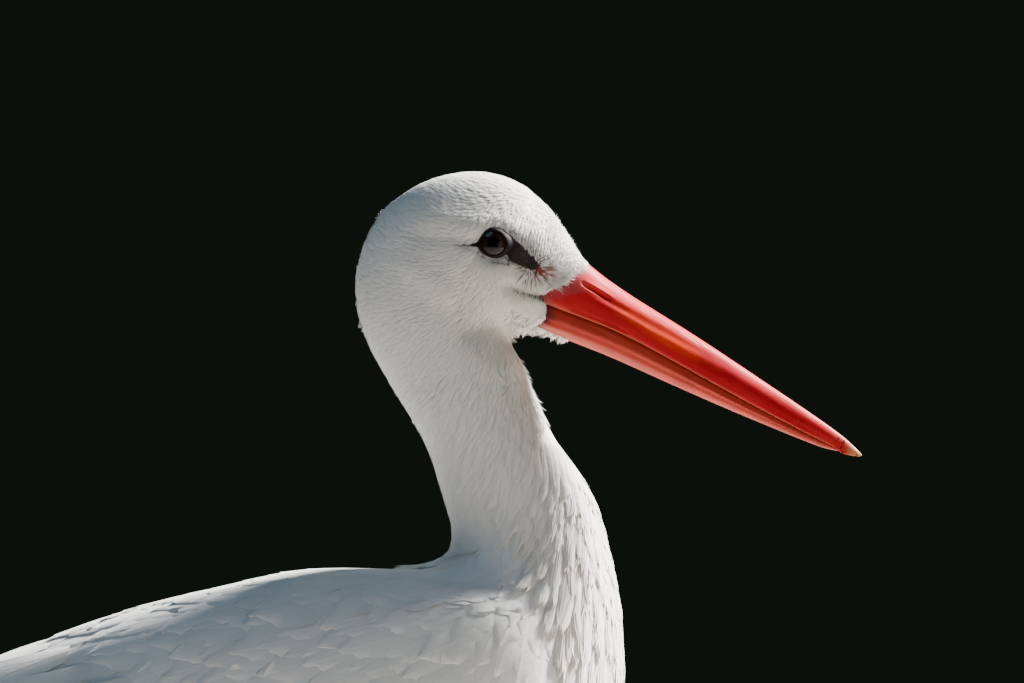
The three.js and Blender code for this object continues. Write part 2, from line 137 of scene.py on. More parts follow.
def smoothstep(value, start, end):
    t = np.clip((value - start) / (end - start), 0, 1)
    return t * t * (3 - 2 * t)


def numbers_of(mesh):
    """Vertex places, vertex normals and edges of a mesh, as arrays."""
    co = np.empty(len(mesh.vertices) * 3)
    mesh.vertices.foreach_get("co", co)
    no = np.empty(len(mesh.vertices) * 3)
    mesh.vertex_normals.foreach_get("vector", no)
    edges = np.empty(len(mesh.edges) * 2, int)
    mesh.edges.foreach_get("vertices", edges)
    return co.reshape(-1, 3), no.reshape(-1, 3), edges.reshape(-1, 2)


def place_vertices(mesh, co):
    mesh.vertices.foreach_set("co", np.ascontiguousarray(co, dtype=np.float32).ravel())
    mesh.update()


def beside_eye(co):
    """How far each point lies ahead of the eye and above it."""
    eye = EYE["left"]
    return np.stack([co[:, 0] - eye.x, co[:, 2] - eye.z], 1)


def ahead_of_edge(flat):
    """How far ahead of the plumage's edge over the bill each flat point lies, negative behind it."""
    ahead, up = np.array(BILL_EDGE[::-1]).T
    slope = np.gradient(ahead, up)
    lean = np.interp(flat[:, 1], up, slope)
    return (flat[:, 0] - np.interp(flat[:, 1], up, ahead)) / np.sqrt(1 + lean**2)


def tree_of(*meshes):
    bm = bmesh.new()
    for mesh in meshes:
        bm.from_mesh(mesh)
    bmesh.ops.triangulate(bm, faces=bm.faces)
    tree = BVHTree.FromBMesh(bm)
    bm.free()
    return tree


def bill_lines():
    """Culmen, mouth and keel heights and the half width at the mouth along the bill, from its solids."""
    upper, lower = (tree_of(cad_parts[name].data) for name in ("bill_upper", "bill_lower"))
    x = np.linspace(upper_hi.x - 0.125, upper_hi.x - 0.0015, 60)
    found = []
    for place in x:
        culmen = upper.ray_cast(Vector((place, 0, 1)), Vector((0, 0, -1)))[0].z
        mouth = upper.ray_cast(Vector((place, 0, 0)), Vector((0, 0, 1)))[0].z
        keel = lower.ray_cast(Vector((place, 0, 0)), Vector((0, 0, 1)))[0].z
        wide = upper.ray_cast(Vector((place, 1, mouth + 0.0004)), Vector((0, -1, 0)))[0].y
        found.append((culmen, mouth, keel, wide))
    return x, [np.polyfit(x - upper_hi.x, line, 5) for line in np.array(found).T]


measured_x, bill_fits = bill_lines()


def bill_at(x):
    """Culmen, mouth, keel and half width at a place along the bill. Behind the measured stretch, under
    the plumage, and at the tip each line runs straight on."""
    held = min(max(x, measured_x[0]), measured_x[-6])
    found = []
    for fit in bill_fits:
        slope = np.polyval(np.polyder(fit), held - upper_hi.x)
        found.append(np.polyval(fit, held - upper_hi.x) + slope * (x - held))
    return found


def bill_half(upper, front):
    """Rings of points round one half of the bill, from under the plumage to its front, both ends shut."""
    bm = bmesh.new()
    rings = []
    end = BILL_TIP if upper else LOWER_TIP
    for share in np.linspace(0, 1, BILL_RINGS):
        x = BILL_BACK + (front - BILL_BACK) * math.sin(share * math.pi / 2) ** 0.9
        culmen, mouth, keel, wide = bill_at(x)
        wide *= 0.72 + 0.28 * float(smoothstep(x, BILL_BACK + 0.003, BILL_BACK + 0.012))
        near_tip = min(1.0, max(0.0, (x - end + 0.012) / 0.012))
        closing = max(0.03, 1 - near_tip**2.0) ** 0.6
        if upper:  # its point closes down over the end of the lower half
            mouth -= (mouth - keel) * 0.9 * float(smoothstep(x, LOWER_TIP - 0.005, LOWER_TIP + 0.001))
        middle = (culmen + mouth) / 2 if upper else mouth
        edge = middle + (mouth - middle) * closing + (0.00008 if upper else -0.00008)
        height = ((culmen if upper else keel) - mouth) * closing
        wide *= closing
        ring = []
        for turn in np.linspace(0, math.pi, BILL_POINTS):
            side, rise = math.cos(turn), math.sin(turn) ** (0.88 if upper else 0.70)
            y = wide * (1.0 if upper else 0.93) * math.copysign(abs(side) ** 1.08, side)
            ring.append(bm.verts.new((x, y, edge + height * rise)))
        rings.append(ring)
    for ring in rings:
        for a, b in zip(ring, ring[1:] + ring[:1]):
            bm.edges.new((a, b))
    for a, b in zip(rings, rings[1:]):
        loop = [bm.edges.get((p, q)) for r in (a, b) for p, q in zip(r, r[1:] + r[:1])]
        bmesh.ops.bridge_loops(bm, edges=loop)
    for ring in (rings[0], rings[-1]):
        bm.faces.new(ring)
    bmesh.ops.recalc_face_normals(bm, faces=bm.faces)
    return bm


NOSTRIL_AHEAD, NOSTRIL_UP, NOSTRIL_LENGTH = 0.0495, -0.0232, 0.0163  # its middle from the eye
NOSTRIL_SLOPE = math.radians(-30)


def along_nostril(co):
    """Places along and across the nostril slit, in the side view."""
    flat = beside_eye(co) - (NOSTRIL_AHEAD, NOSTRIL_UP)
    way = np.array([math.cos(NOSTRIL_SLOPE), math.sin(NOSTRIL_SLOPE)])
    return flat @ way, flat @ np.array([-way[1], way[0]])


def node(made, kind, inputs=(), **settings):
    """A node of the material, its inputs linked to other nodes' outputs or given values."""
    new = made.node_tree.nodes.new("ShaderNode" + kind)
    for setting, value in settings.items():
        setattr(new, setting, value)
    for socket, value in dict(inputs).items():
        if isinstance(value, bpy.types.NodeSocket):
            made.node_tree.links.new(value, new.inputs[socket])
        else:
            new.inputs[socket].default_value = value
    return new


def blend(made, share, low, high, kind="MIX"):
    inputs = {"Fac": share, "Color1": low, "Color2": high}
    return node(made, "MixRGB", inputs, blend_type=kind).outputs["Color"]


def ramp(made, value, stops):
    """Colours or greys read off a scale from 0 to 1."""
    made_ramp = node(made, "ValToRGB", {"Fac": value})
    elements = made_ramp.color_ramp.elements
    while len(elements) < len(stops):
        elements.new(0.5)
    for element, (place, colour) in zip(elements, stops):
        element.position = place
        element.color = (colour,) * 3 + (1,) if isinstance(colour, (int, float)) else (*colour, 1)
    return made_ramp.outputs["Color"]


def noise(made, vector, scale, detail=3.0, roughness=0.55):
    inputs = {"Vector": vector, "Scale": scale, "Detail": detail, "Roughness": roughness}
    return node(made, "TexNoise", inputs).outputs["Fac"]


def combined(made, operation, *values):
    return node(made, "Math", dict(enumerate(values)), operation=operation).outputs[0]


def object_place(made):
    return node(made, "TexCoord").outputs["Object"]


def paint(made, shader, colour):
    made.node_tree.links.new(colour, shader.inputs["Base Color"])


def relief(made, shader, height, distance):
    bump = node(made, "Bump", {"Height": height, "Distance": distance, "Strength": 1.0})
    made.node_tree.links.new(bump.outputs["Normal"], shader.inputs["Normal"])


def add_values(mesh, name, values):
    """A number for each vertex, which the material reads by its name."""
    attribute = mesh.attributes.new(name, "FLOAT", "POINT")
    attribute.data.foreach_set("value", np.asarray(values, dtype=np.float32))


def show(name, mesh, replaced=()):
    """The finished mesh as a piece of the bird."""
    mesh.name = name
    piece = placed(name, mesh)
    mesh.polygons.foreach_set("use_smooth", np.ones(len(mesh.polygons), bool))
    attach(piece, "root")
    if replaced:
        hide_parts(*replaced)


def share_of(made, name):
    return node(made, "Attribute", attribute_name=name).outputs["Fac"]


bm = bill_half(True, BILL_TIP)
fine_faces = [f for f in bm.faces if abs(f.calc_center_median().y) > 0.002 and len(f.verts) == 4
              and abs(f.calc_center_median().x - EYE["left"].x - NOSTRIL_AHEAD) < 0.014]
edges_here = list({e for f in fine_faces for e in f.edges})
bmesh.ops.subdivide_edges(bm, edges=edges_here, cuts=2, use_grid_fill=True)
bmesh.ops.triangulate(bm, faces=[f for f in bm.faces if len(f.verts) > 4])
upper_bill = mesh_of("upper_bill", bm)
co, no, edges = numbers_of(upper_bill)
along, across = along_nostril(co)
beside = np.abs(co[:, 1]) > 0.002
slit = np.clip(1 - (2 * along / NOSTRIL_LENGTH) ** 2, 0, 1) ** 0.5
depth_here = 0.0021 * slit * np.exp(-(across / 0.00065) ** 2) * beside
furrow = 0.00045 * smoothstep(along, -0.004, 0.006) * (1 - smoothstep(along, 0.03, 0.085))
furrow = furrow * np.exp(-((across + 0.0012 - 0.02 * along) / 0.0016) ** 2) * beside
lip = 0.00025 * slit * np.exp(-((across - 0.0018) / 0.0008) ** 2) * beside
shelf = np.abs(co[:, 2] - np.array([bill_at(x)[1] for x in co[:, 0]]))
groove = 0.00028 * np.exp(-((shelf - 0.0022) / 0.0005) ** 2)
groove *= 1 - smoothstep(co[:, 0], upper_hi.x - 0.03, upper_hi.x - 0.008)
co = co - no * (depth_here + furrow + groove - lip)[:, None]
place_vertices(upper_bill, co)
add_values(upper_bill, "slit", slit * np.exp(-(across / 0.0011) ** 2) * beside)
culmen_height = np.array([bill_at(x)[0] - bill_at(x)[1] for x in co[:, 0]])
add_values(upper_bill, "rise", np.clip(shelf / np.maximum(culmen_height, 1e-4), 0, 1))
along_bill = beside_eye(co)[:, 0]
glow = np.exp(-(((along_bill - 0.080) / 0.030) ** 2) - (((shelf / culmen_height) - 0.52) / 0.26) ** 2)
add_values(upper_bill, "glow", glow)
add_values(upper_bill, "root", 1 - smoothstep(ahead_of_edge(beside_eye(co)), 0.0005, 0.0055))
show("upper_bill", upper_bill, ["bill_upper"])

lower_bill = mesh_of("lower_bill", bill_half(False, LOWER_TIP))
co, no, edges = numbers_of(lower_bill)
lines = np.array([bill_at(x) for x in co[:, 0]])
share = (lines[:, 1] - co[:, 2]) / np.maximum(lines[:, 1] - lines[:, 2], 1e-4)
ridge = 0.0003 * np.exp(-((share - 0.42) / 0.07) ** 2) - 0.0003 * np.exp(-((share - 0.58) / 0.08) ** 2)
ridge *= 1 - smoothstep(co[:, 0], upper_hi.x - 0.07, upper_hi.x - 0.02)
place_vertices(lower_bill, co + no * ridge[:, None])
add_values(lower_bill, "rise", np.clip(share, 0, 1))
add_values(lower_bill, "root", 1 - smoothstep(ahead_of_edge(beside_eye(co)), 0.0008, 0.0024))
show("lower_bill", lower_bill, ["bill_lower"])

BILL_AXIS_TURN = math.radians(34)


def horn(name, bill, dark, body, bright, roughness, own_marks):
    """Keratin with fine streaks along the bill, the half's own marks, a horn-yellow tip and dark blotches
    where the lower half ends."""
    made, shader = material(name, roughness=roughness, specular_ior_level=0.12)
    place = object_place(made)
    turned = {"Vector": place, "Rotation": (0, BILL_AXIS_TURN, 0)}
    turned = node(made, "Mapping", turned, vector_type="TEXTURE").outputs["Vector"]
    drawn = node(made, "Mapping", {"Vector": turned, "Scale": (22, 300, 300)}).outputs["Vector"]
    streaks = noise(made, drawn, 1.0, 4)
    colour = ramp(made, noise(made, place, 55, 3), [(0.30, dark), (0.58, body)])
    bright_share = ramp(made, noise(made, drawn, 0.35, 4), [(0.42, 0.0), (0.70, 0.55)])
    colour = blend(made, bright_share, colour, (*bright, 1))
    colour = blend(made, 0.18, colour, ramp(made, streaks, [(0.35, dark), (0.65, bright)]))
    colour = own_marks(made, place, turned, share_of(made, "rise"), share_of(made, "root"), colour)
    along = node(made, "SeparateXYZ", {"Vector": place}).outputs["X"]

    def between(start, end):
        return node(made, "MapRange", {"Value": along, "From Min": start, "From Max": end}).outputs["Result"]

    tip = ramp(made, noise(made, place, 260, 3), [(0.36, (0.16, 0.05, 0.02)), (0.46, (0.72, 0.34, 0.13))])
    colour = blend(made, between(BILL_TIP - 0.009, BILL_TIP - 0.002), colour, tip)
    near_end = ramp(made, between(LOWER_TIP - 0.008, LOWER_TIP + 0.003),
                    [(0.0, 0.0), (0.5, 1.0), (0.8, 1.0), (1.0, 0.0)])
    dark_blotches = combined(made, "MULTIPLY", near_end, noise(made, place, 420, 3))
    dark_blotches = ramp(made, dark_blotches, [(0.53, 0.0), (0.57, 0.9)])
    paint(made, shader, blend(made, dark_blotches, colour, (0.022, 0.010, 0.008, 1)))
    relief(made, shader, streaks, 0.00010)
    bill.materials.append(made)


def upper_marks(made, place, turned, rise, root, colour):
    """An orange glow halfway along, pale flecks on the ridge's top that are partly wear and partly a painted
    highlight, a pale edge, the red nostril.
    """
    glow = combined(made, "MULTIPLY", share_of(made, "glow"), noise(made, place, 70, 4, 0.65))
    colour = blend(made, ramp(made, glow, [(0.16, 0.0), (0.50, 0.9)]), colour, (0.90, 0.060, 0.014, 1))
    # Pale flecks on the top of the ridge: worn horn, and a painted highlight where the top catches the light.
    flecks = node(made, "Mapping", {"Vector": turned, "Scale": (90, 900, 900)}).outputs["Vector"]
    flecks = ramp(made, noise(made, flecks, 1.0, 2), [(0.60, 0.0), (0.70, 0.7)])
    ridge_wear_and_highlight = combined(made, "MULTIPLY", ramp(made, rise, [(0.62, 0.0), (0.97, 1.0)]), flecks)
    colour = blend(made, ridge_wear_and_highlight, colour, (0.80, 0.42, 0.34, 1))
    colour = blend(made, ramp(made, rise, [(0.0, 0.75), (0.05, 0.0)]), colour, (0.66, 0.16, 0.06, 1))
    in_slit = ramp(made, share_of(made, "slit"), [(0.35, 0.0), (0.8, 1.0)])
    colour = blend(made, in_slit, colour, (0.72, 0.012, 0.008, 1))
    return blend(made, combined(made, "MULTIPLY", root, 0.55), colour, (0.30, 0.11, 0.11, 1))


def lower_marks(made, place, turned, rise, root, colour):
    """Painted shade in the hollow band under the mouth's line, bluish black where it meets the plumage."""
    shaded = ramp(made, rise, [(0.0, 0.85), (0.10, 0.30), (0.36, 0.22), (0.46, 0.0)])
    colour = blend(made, shaded, colour, (0.16, 0.012, 0.008, 1))
    return blend(made, combined(made, "MULTIPLY", root, 0.8), colour, (0.045, 0.022, 0.030, 1))


horn("upper_horn", upper_bill, (0.40, 0.006, 0.014), (0.60, 0.014, 0.024), (0.74, 0.036, 0.036), 0.40,
     upper_marks)
horn("lower_horn", lower_bill, (0.24, 0.013, 0.009), (0.38, 0.030, 0.018), (0.49, 0.068, 0.036), 0.38,
     lower_marks)

# ---- Skin ----
# The bird's hide in one piece, from the edge of the bill to the toes: thin and pale under the plumage,
# bare and black round the eyes and on the lores, red and horny on the legs. It closes over all the
# fleshy solids, and where plumage covers it, it lies inside them by the depth of that plumage. Ahead of
# them it runs a little way on over the base of the bill.
TOES = ("middle", "inner", "outer", "hind")
LEG = ["thigh", "shank", "ankle", "tarsus", "palm"] + [f"toe_{toe}" for toe in TOES]
FLESH = ["head", "neck_upper", "neck_lower", "trunk"]
FLESH += [f"{part}_{side}" for side in SIDES for part in ["wing", *LEG]]
VOXEL = 0.0021
SWELL = 0.0005  # closes the clearances between neighbouring solids
ROUNDING = 2  # levels of subdivision that round off the solids' facets
SHARP = 0.85  # radians between the faces of an edge that stays sharp
TROUSER_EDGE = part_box("shank_right")[1].z


def finished(obj):
    """The object's mesh with its modifiers applied, and the object removed."""
    evaluated = obj.evaluated_get(bpy.context.evaluated_depsgraph_get())
    mesh = bpy.data.meshes.new_from_object(evaluated)
    bpy.data.objects.remove(obj)
    return mesh


def rounded_copy(solid):
    """A smooth copy of a solid: its facets rounded off, its cut edges kept sharp."""
    bm = bmesh.new()
    bm.from_mesh(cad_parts[solid].data)
    bmesh.ops.remove_doubles(bm, verts=bm.verts, dist=1e-5)
    bmesh.ops.join_triangles(bm, faces=bm.faces, angle_face_threshold=0.6, angle_shape_threshold=0.9)
    crease = bm.edges.layers.float.new("crease_edge")
    for edge in bm.edges:
        if edge.calc_face_angle(math.pi) > SHARP:
            edge[crease] = 1.0
    copy = placed(solid + "_rounded", mesh_of(solid, bm))
    subdivision = copy.modifiers.new("rounding", "SUBSURF")
    subdivision.levels = subdivision.render_levels = ROUNDING
    return copy


bm = bmesh.new()
for solid in FLESH:
    copy = rounded_copy(solid)
    swell = copy.modifiers.new("swell", "DISPLACE")
    swell.strength, swell.mid_level = SWELL, 0.0
    part = finished(copy)
    bm.from_mesh(part)
    bpy.data.meshes.remove(part)
for upper in (True, False):
    covered = mesh_of("covered_bill", bill_half(upper, EYE["left"].x + BILL_EDGE[0][0] + 0.003))
    bm.from_mesh(covered)
    bpy.data.meshes.remove(covered)
flesh = placed("flesh", mesh_of("flesh", bm))
remesh = flesh.modifiers.new("closing", "REMESH")
remesh.mode, remesh.voxel_size = "VOXEL", VOXEL
flesh_mesh = finished(flesh)


def spread_out(values, edges, share, times):
    """Values at the vertices, each moved by its share towards its neighbours' mean, many times."""
    ends, others = edges.ravel(), edges[:, ::-1].ravel()
    degree = np.maximum(np.bincount(ends, minlength=len(values)), 1)[:, None]
    share = np.broadcast_to(np.asarray(share, float).reshape(-1, 1), (len(values), 1))
    for _ in range(times):
        sums = [np.bincount(ends, values[others, k], len(values)) for k in range(values.shape[1])]
        values = values + share * (np.stack(sums, 1) / degree - values)
    return values


def on_trunk(co):
    """1 on the trunk and wings, 0 on the head, the upper neck and the legs."""
    high = 1 - smoothstep(co[:, 2], 0.70, 0.76)
    return high * smoothstep(co[:, 2], TROUSER_EDGE + 0.06, TROUSER_EDGE + 0.14)


def coat_depth(co):
    """How deep the plumage lies on the skin: thin on the face, deepest on the breast and back, none on
    the bare part of the legs."""
    down = co[:, 2]
    depth = 0.0013 + 0.0009 * (1 - smoothstep(down, 0.78, 0.83)) + 0.0022 * (1 - smoothstep(down, 0.69, 0.76))
    return depth * smoothstep(down, TROUSER_EDGE - 0.002, TROUSER_EDGE + 0.03)


co, no, edges = numbers_of(flesh_mesh)
co = spread_out(co, edges, 0.25 + 0.35 * on_trunk(co), 14)
place_vertices(flesh_mesh, co)
co, no, edges = numbers_of(flesh_mesh)
thickness_tree = BVHTree.FromPolygons([Vector(p) for p in co], [p.vertices for p in flesh_mesh.polygons])
thickness = np.empty(len(co))
for i, (p, n) in enumerate(zip(co, no)):
    hit = thickness_tree.ray_cast(Vector(p - n * 1e-4), Vector(-n), 0.03)
    thickness[i] = hit[3] if hit[0] else 0.03
depth = np.minimum(coat_depth(co), 0.3 * thickness)[:, None]
co = co - no * spread_out(depth, edges, 0.6, 6)
co = spread_out(co, edges, 0.5 * on_trunk(co), 8)
shoulder_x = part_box("wing_left")[1].x
at_shoulder = np.exp(-(((co[:, 0] - shoulder_x) / 0.022) ** 2)) * on_trunk(co)
co = spread_out(co, edges, 0.7 * at_shoulder, 60)
place_vertices(flesh_mesh, co)

# The hidden part under the plumage of the trunk needs fewer faces than the head and feet.
flesh = placed("flesh", flesh_mesh)
hidden = flesh.vertex_groups.new(name="hidden")
hidden.add([int(i) for i in np.flatnonzero(on_trunk(co) > 0.9)], 1.0, "REPLACE")
thinning = flesh.modifiers.new("thinning", "DECIMATE")
thinning.ratio, thinning.vertex_group = 0.55, "hidden"
skin_mesh = finished(flesh)


# Marks of the face, as stretches between points beside the eye (ahead of it, above it) with a radius
# at each end, in metres: the bare black skin that runs from the back corner of the eye round it and
# down over the lores, and the red spot and streaks between the lores and the corner of the mouth.
BLACK_STRETCHES = [
    ((-0.0170, 0.0000), 0.0003, (-0.0070, 0.0004), 0.0026),
    ((-0.0014, 0.0000), 0.0066, (0.0016, 0.0000), 0.0066),
    ((0.0080, 0.0002), 0.0044, (0.0118, -0.0045), 0.0053),
    ((0.0118, -0.0048), 0.0053, (0.0186, -0.0094), 0.0036),
    ((-0.0010, -0.0079), 0.0001, (0.0080, -0.0084), 0.0005),
    ((0.0105, -0.0208), 0.0002, (0.0250, -0.0252), 0.0009),
]
RED_STRETCHES = [
    ((0.0214, -0.0098), 0.0012, (0.0238, -0.0118), 0.0019),
    ((0.0216, -0.0110), 0.0009, (0.0192, -0.0160), 0.0003),
    ((0.0238, -0.0118), 0.0012, (0.0266, -0.0160), 0.0004),
]
# Soft forms of the head under the plumage: from one point beside the eye to another, how wide and how
# high. The brow, the furrow behind the eye, the cheek and its back edge, and the corner of the mouth.
FOLDS = [
    ((-0.030, 0.0125), (0.022, 0.0045), 0.0050, 0.0009),
    ((-0.036, 0.0030), (-0.010, 0.0010), 0.0035, -0.0008),
    ((-0.040, -0.0120), (-0.022, -0.0240), 0.0060, 0.0011),
    ((-0.020, -0.0120), (0.004, -0.0150), 0.0060, 0.0004),
    ((-0.012, -0.0420), (0.008, -0.0360), 0.0050, -0.0009),
    ((0.006, -0.0195), (0.0205, -0.0240), 0.0022, -0.0007),
]


HEAD_MIDDLE = 0.007  # nearer to the middle plane than this is neither side of the head


def outside_stretch(flat, start, start_radius, end, end_radius):
    """Distance of flat points from a stretch that tapers between two round ends, negative inside."""
    start, way = np.array(start), np.array(end) - np.array(start)
    share = np.clip((flat - start) @ way / (way @ way), 0, 1)
    nearest = start + share[:, None] * way
    return np.linalg.norm(flat - nearest, axis=1) - (start_radius + (end_radius - start_radius) * share)


def marked(co, stretches, blur=0.0005):
    """1 inside the stretches on either side of the head, 0 outside them."""
    outside = np.min([outside_stretch(beside_eye(co), *s) for s in stretches], axis=0)
    side_of_head = (np.abs(co[:, 1]) > HEAD_MIDDLE) & (co[:, 2] > EYE["left"].z - 0.04)
    return (1 - smoothstep(outside, -blur, blur)) * side_of_head


# Only the outer surface is kept: what can be reached from its highest point. Round the eyes and lores
# it is divided more finely, and it dips under the eyeball's edge.
LID_OPENING = 0.0060
bm = bmesh.new()
bm.from_mesh(skin_mesh)
waiting = [max(bm.verts, key=lambda vert: vert.co.z)]
outer_skin = set(waiting)
while waiting:
    for edge in waiting.pop().link_edges:
        fresh = [vert for vert in edge.verts if vert not in outer_skin]
        outer_skin.update(fresh)
        waiting += fresh
bmesh.ops.delete(bm, geom=[vert for vert in bm.verts if vert not in outer_skin], context="VERTS")
for cuts, reach in ((2, 0.013), (1, 0.0065)):
    near = []
    for edge in bm.edges:
        middle = (edge.verts[0].co + edge.verts[1].co) / 2
        near_eye = middle.z > EYE["left"].z - 0.04 and middle.x > EYE["left"].x - 0.03
        if abs(middle.y) > HEAD_MIDDLE and near_eye:
            flat = np.array([[middle.x - EYE["left"].x, middle.z - EYE["left"].z]])
            to_eye = outside_stretch(flat, (-0.004, 0), 0.0, (0.02, -0.013), 0.0)[0]
            behind = outside_stretch(flat, (-0.018, 0), 0.0, (-0.004, 0), 0.0)[0]
            at_bill = cuts == 2 and abs(ahead_of_edge(flat)[0]) < 0.003 and flat[0, 0] > 0.01
            if to_eye < reach or behind < 0.0035 or at_bill:
                near.append(edge)
    bmesh.ops.subdivide_edges(bm, edges=near, cuts=cuts, use_grid_fill=True, smooth=0.0)
bmesh.ops.triangulate(bm, faces=[f for f in bm.faces if len(f.verts) > 4])
bm.to_mesh(skin_mesh)
bm.free()

co, no, edges = numbers_of(skin_mesh)
face_of = np.linalg.norm(beside_eye(co), axis=1) < 0.05
co = spread_out(co, edges, 0.4 * face_of, 5)
for start, end, wide, high in FOLDS:
    off = outside_stretch(beside_eye(co), start, 0.0, end, 0.0)
    sideways = smoothstep(np.abs(no[:, 1]), 0.2, 0.6) * (co[:, 2] > EYE["left"].z - 0.07)
    co = co + no * (high * np.exp(-((off / wide) ** 2)) * sideways)[:, None]

# Over the bill's base the hide lies just outside the horn up to the plumage's edge and then dips in.
bill_tree = tree_of(upper_bill, lower_bill)
for i in np.flatnonzero(beside_eye(co)[:, 0] > 0.012):
    on_horn, horn_out, _, reach = bill_tree.find_nearest(Vector(co[i]))
    above_horn = (Vector(co[i]) - on_horn).dot(horn_out)
    if abs(above_horn) < 0.003 and reach < 0.004 and on_horn.x > BILL_BACK + 0.002:
        ahead = ahead_of_edge(beside_eye(co[i:i + 1]))[0]
        if horn_out.z < -0.8 and abs(co[i][1]) < 0.004 and beside_eye(co[i:i + 1])[0, 0] < 0.036:
            ahead = -0.002
        wanted = float(np.interp(ahead, [-0.0015, 0.0002], [0.0004, -0.0010]))
        if (wanted > above_horn) == (wanted > 0):
            co[i] = np.array(on_horn + horn_out * wanted)
for side, sign in SIDES.items():
    eye = np.array(EYE[side])
    out = co - eye
    reach = np.linalg.norm(out, axis=1)
    across = np.hypot(out[:, 0], out[:, 2]) / LID_OPENING
    near = (co[:, 1] * sign > 0.012) & (across < 2.2)
    sunk = EYE_RADIUS + np.interp(across, [0, 0.9, 1.1, 1.6], [-0.0009, -0.0009, 0.0001, 0.0002])
    share = (1 - smoothstep(across, 1.3, 1.9)) * near
    co += (out / reach[:, None]) * ((sunk - reach) * share)[:, None]
co[:, 2] = np.maximum(co[:, 2], 0)
place_vertices(skin_mesh, co)


# ---- Lie of the plumage ----
# Feathers grow away from the bill: back over the head, down the neck and back along the body. The way
# from the bill's edge over the hide gives that direction on the head and neck.
skin_co, skin_no, edges = numbers_of(skin_mesh)
lengths = np.maximum(np.linalg.norm(skin_co[edges[:, 0]] - skin_co[edges[:, 1]], axis=1), 1e-5)
neighbours = [[] for _ in skin_co]
for (a, b), length in zip(edges.tolist(), lengths.tolist()):
    neighbours[a].append((b, length))
    neighbours[b].append((a, length))
from_bill = np.full(len(skin_co), np.inf)
starts = np.flatnonzero((ahead_of_edge(beside_eye(skin_co)) > 0) & (skin_co[:, 2] > EYE["left"].z - 0.05))
queue = [(0.0, int(i)) for i in starts]
from_bill[starts] = 0
while queue:
    so_far, i = heapq.heappop(queue)
    if so_far > from_bill[i]:
        continue
    for j, length in neighbours[i]:
        if so_far + length < from_bill[j]:
            from_bill[j] = so_far + length
            heapq.heappush(queue, (so_far + length, j))
from_bill = spread_out(from_bill[:, None], edges, 0.5, 12)[:, 0]


def unit(vectors):
    return vectors / np.maximum(np.linalg.norm(vectors, axis=-1, keepdims=True), 1e-12)


def flattened(vectors, normals):
    """Unit vectors along the surface, as near as can be to the given ones."""
    return unit(vectors - normals * np.sum(vectors * normals, 1, keepdims=True))


way = skin_co[edges[:, 1]] - skin_co[edges[:, 0]]
way = way * ((from_bill[edges[:, 1]] - from_bill[edges[:, 0]]) / lengths**2)[:, None]
lie = unit(np.stack([np.bincount(edges.ravel(), np.repeat(way[:, k], 2), len(skin_co)) for k in range(3)], 1))
BACKWARDS = np.array([-0.93, 0.0, -0.30])
DOWN_LEG = np.array([-0.18, 0.0, -1.0])
trunk_share = on_trunk(skin_co)[:, None]
leg_share = (1 - smoothstep(skin_co[:, 2], 0.47, 0.54))[:, None]
DOWN_BREAST = np.array([-0.30, 0.0, -1.0])
breast_share = smoothstep(skin_co[:, 0], shoulder_x - 0.075, shoulder_x - 0.01)[:, None]
breast_share = breast_share * smoothstep(skin_co[:, 2], 0.55, 0.62)[:, None]
lie = (1 - trunk_share) * lie + trunk_share * flattened(BACKWARDS, skin_no)
over_back = smoothstep(skin_no[:, 2], 0.35, 0.75)[:, None]
breast_share = breast_share * (1 - over_back)
lie = (1 - breast_share) * lie + breast_share * flattened(DOWN_BREAST, skin_no)
lie = flattened((1 - leg_share) * lie + leg_share * DOWN_LEG, skin_no)
skin_lie = flattened(unit(spread_out(lie, edges, 0.6, 25)), skin_no)
skin_smooth = unit(spread_out(skin_no, edges, 0.6, 6))


def nearest_among(kept):
    """A search that gives, for each place, the nearest vertex of the hide among those kept."""
    tree = KDTree(int(kept.sum()))
    for i in np.flatnonzero(kept):
        tree.insert(skin_co[i], int(i))
    tree.balance()
    return lambda places: np.array([tree.find(p)[1] for p in places])


nearest_vertex = nearest_among(np.ones(len(skin_co), bool))
WHOLE_HIDE = (nearest_vertex, skin_smooth, skin_lie)

add_values(skin_mesh, "black", marked(skin_co, BLACK_STRETCHES))
add_values(skin_mesh, "red", marked(skin_co, RED_STRETCHES))
add_values(skin_mesh, "horny", 1 - smoothstep(skin_co[:, 2], TROUSER_EDGE - 0.004, TROUSER_EDGE + 0.012))
hide, hide_shader = material("hide", roughness=0.55, specular_ior_level=0.3)
place = object_place(hide)
mottle = noise(hide, place, 420)
fine = noise(hide, place, 2200, 2)
pale = blend(hide, mottle, (0.76, 0.69, 0.63, 1), (0.82, 0.77, 0.71, 1))
leg_red = ramp(hide, mottle,
               [(0.3, (0.26, 0.018, 0.012)), (0.55, (0.42, 0.040, 0.024)), (0.8, (0.50, 0.09, 0.06))])
black_skin = ramp(hide, mottle, [(0.35, (0.005, 0.004, 0.004)), (0.7, (0.016, 0.011, 0.009))])
red_skin = blend(hide, fine, (0.30, 0.02, 0.015, 1), (0.62, 0.10, 0.07, 1))
colour = blend(hide, share_of(hide, "horny"), pale, leg_red)
colour = blend(hide, share_of(hide, "red"), colour, red_skin)
colour = blend(hide, share_of(hide, "black"), colour, black_skin)
paint(hide, hide_shader, colour)
pores = node(hide, "TexVoronoi", {"Vector": place, "Scale": 1400}).outputs["Distance"]
relief(hide, hide_shader, blend(hide, 0.5, pores, fine), 0.00022)
skin_mesh.materials.clear()
skin_mesh.materials.append(hide)
show("skin", skin_mesh, FLESH)

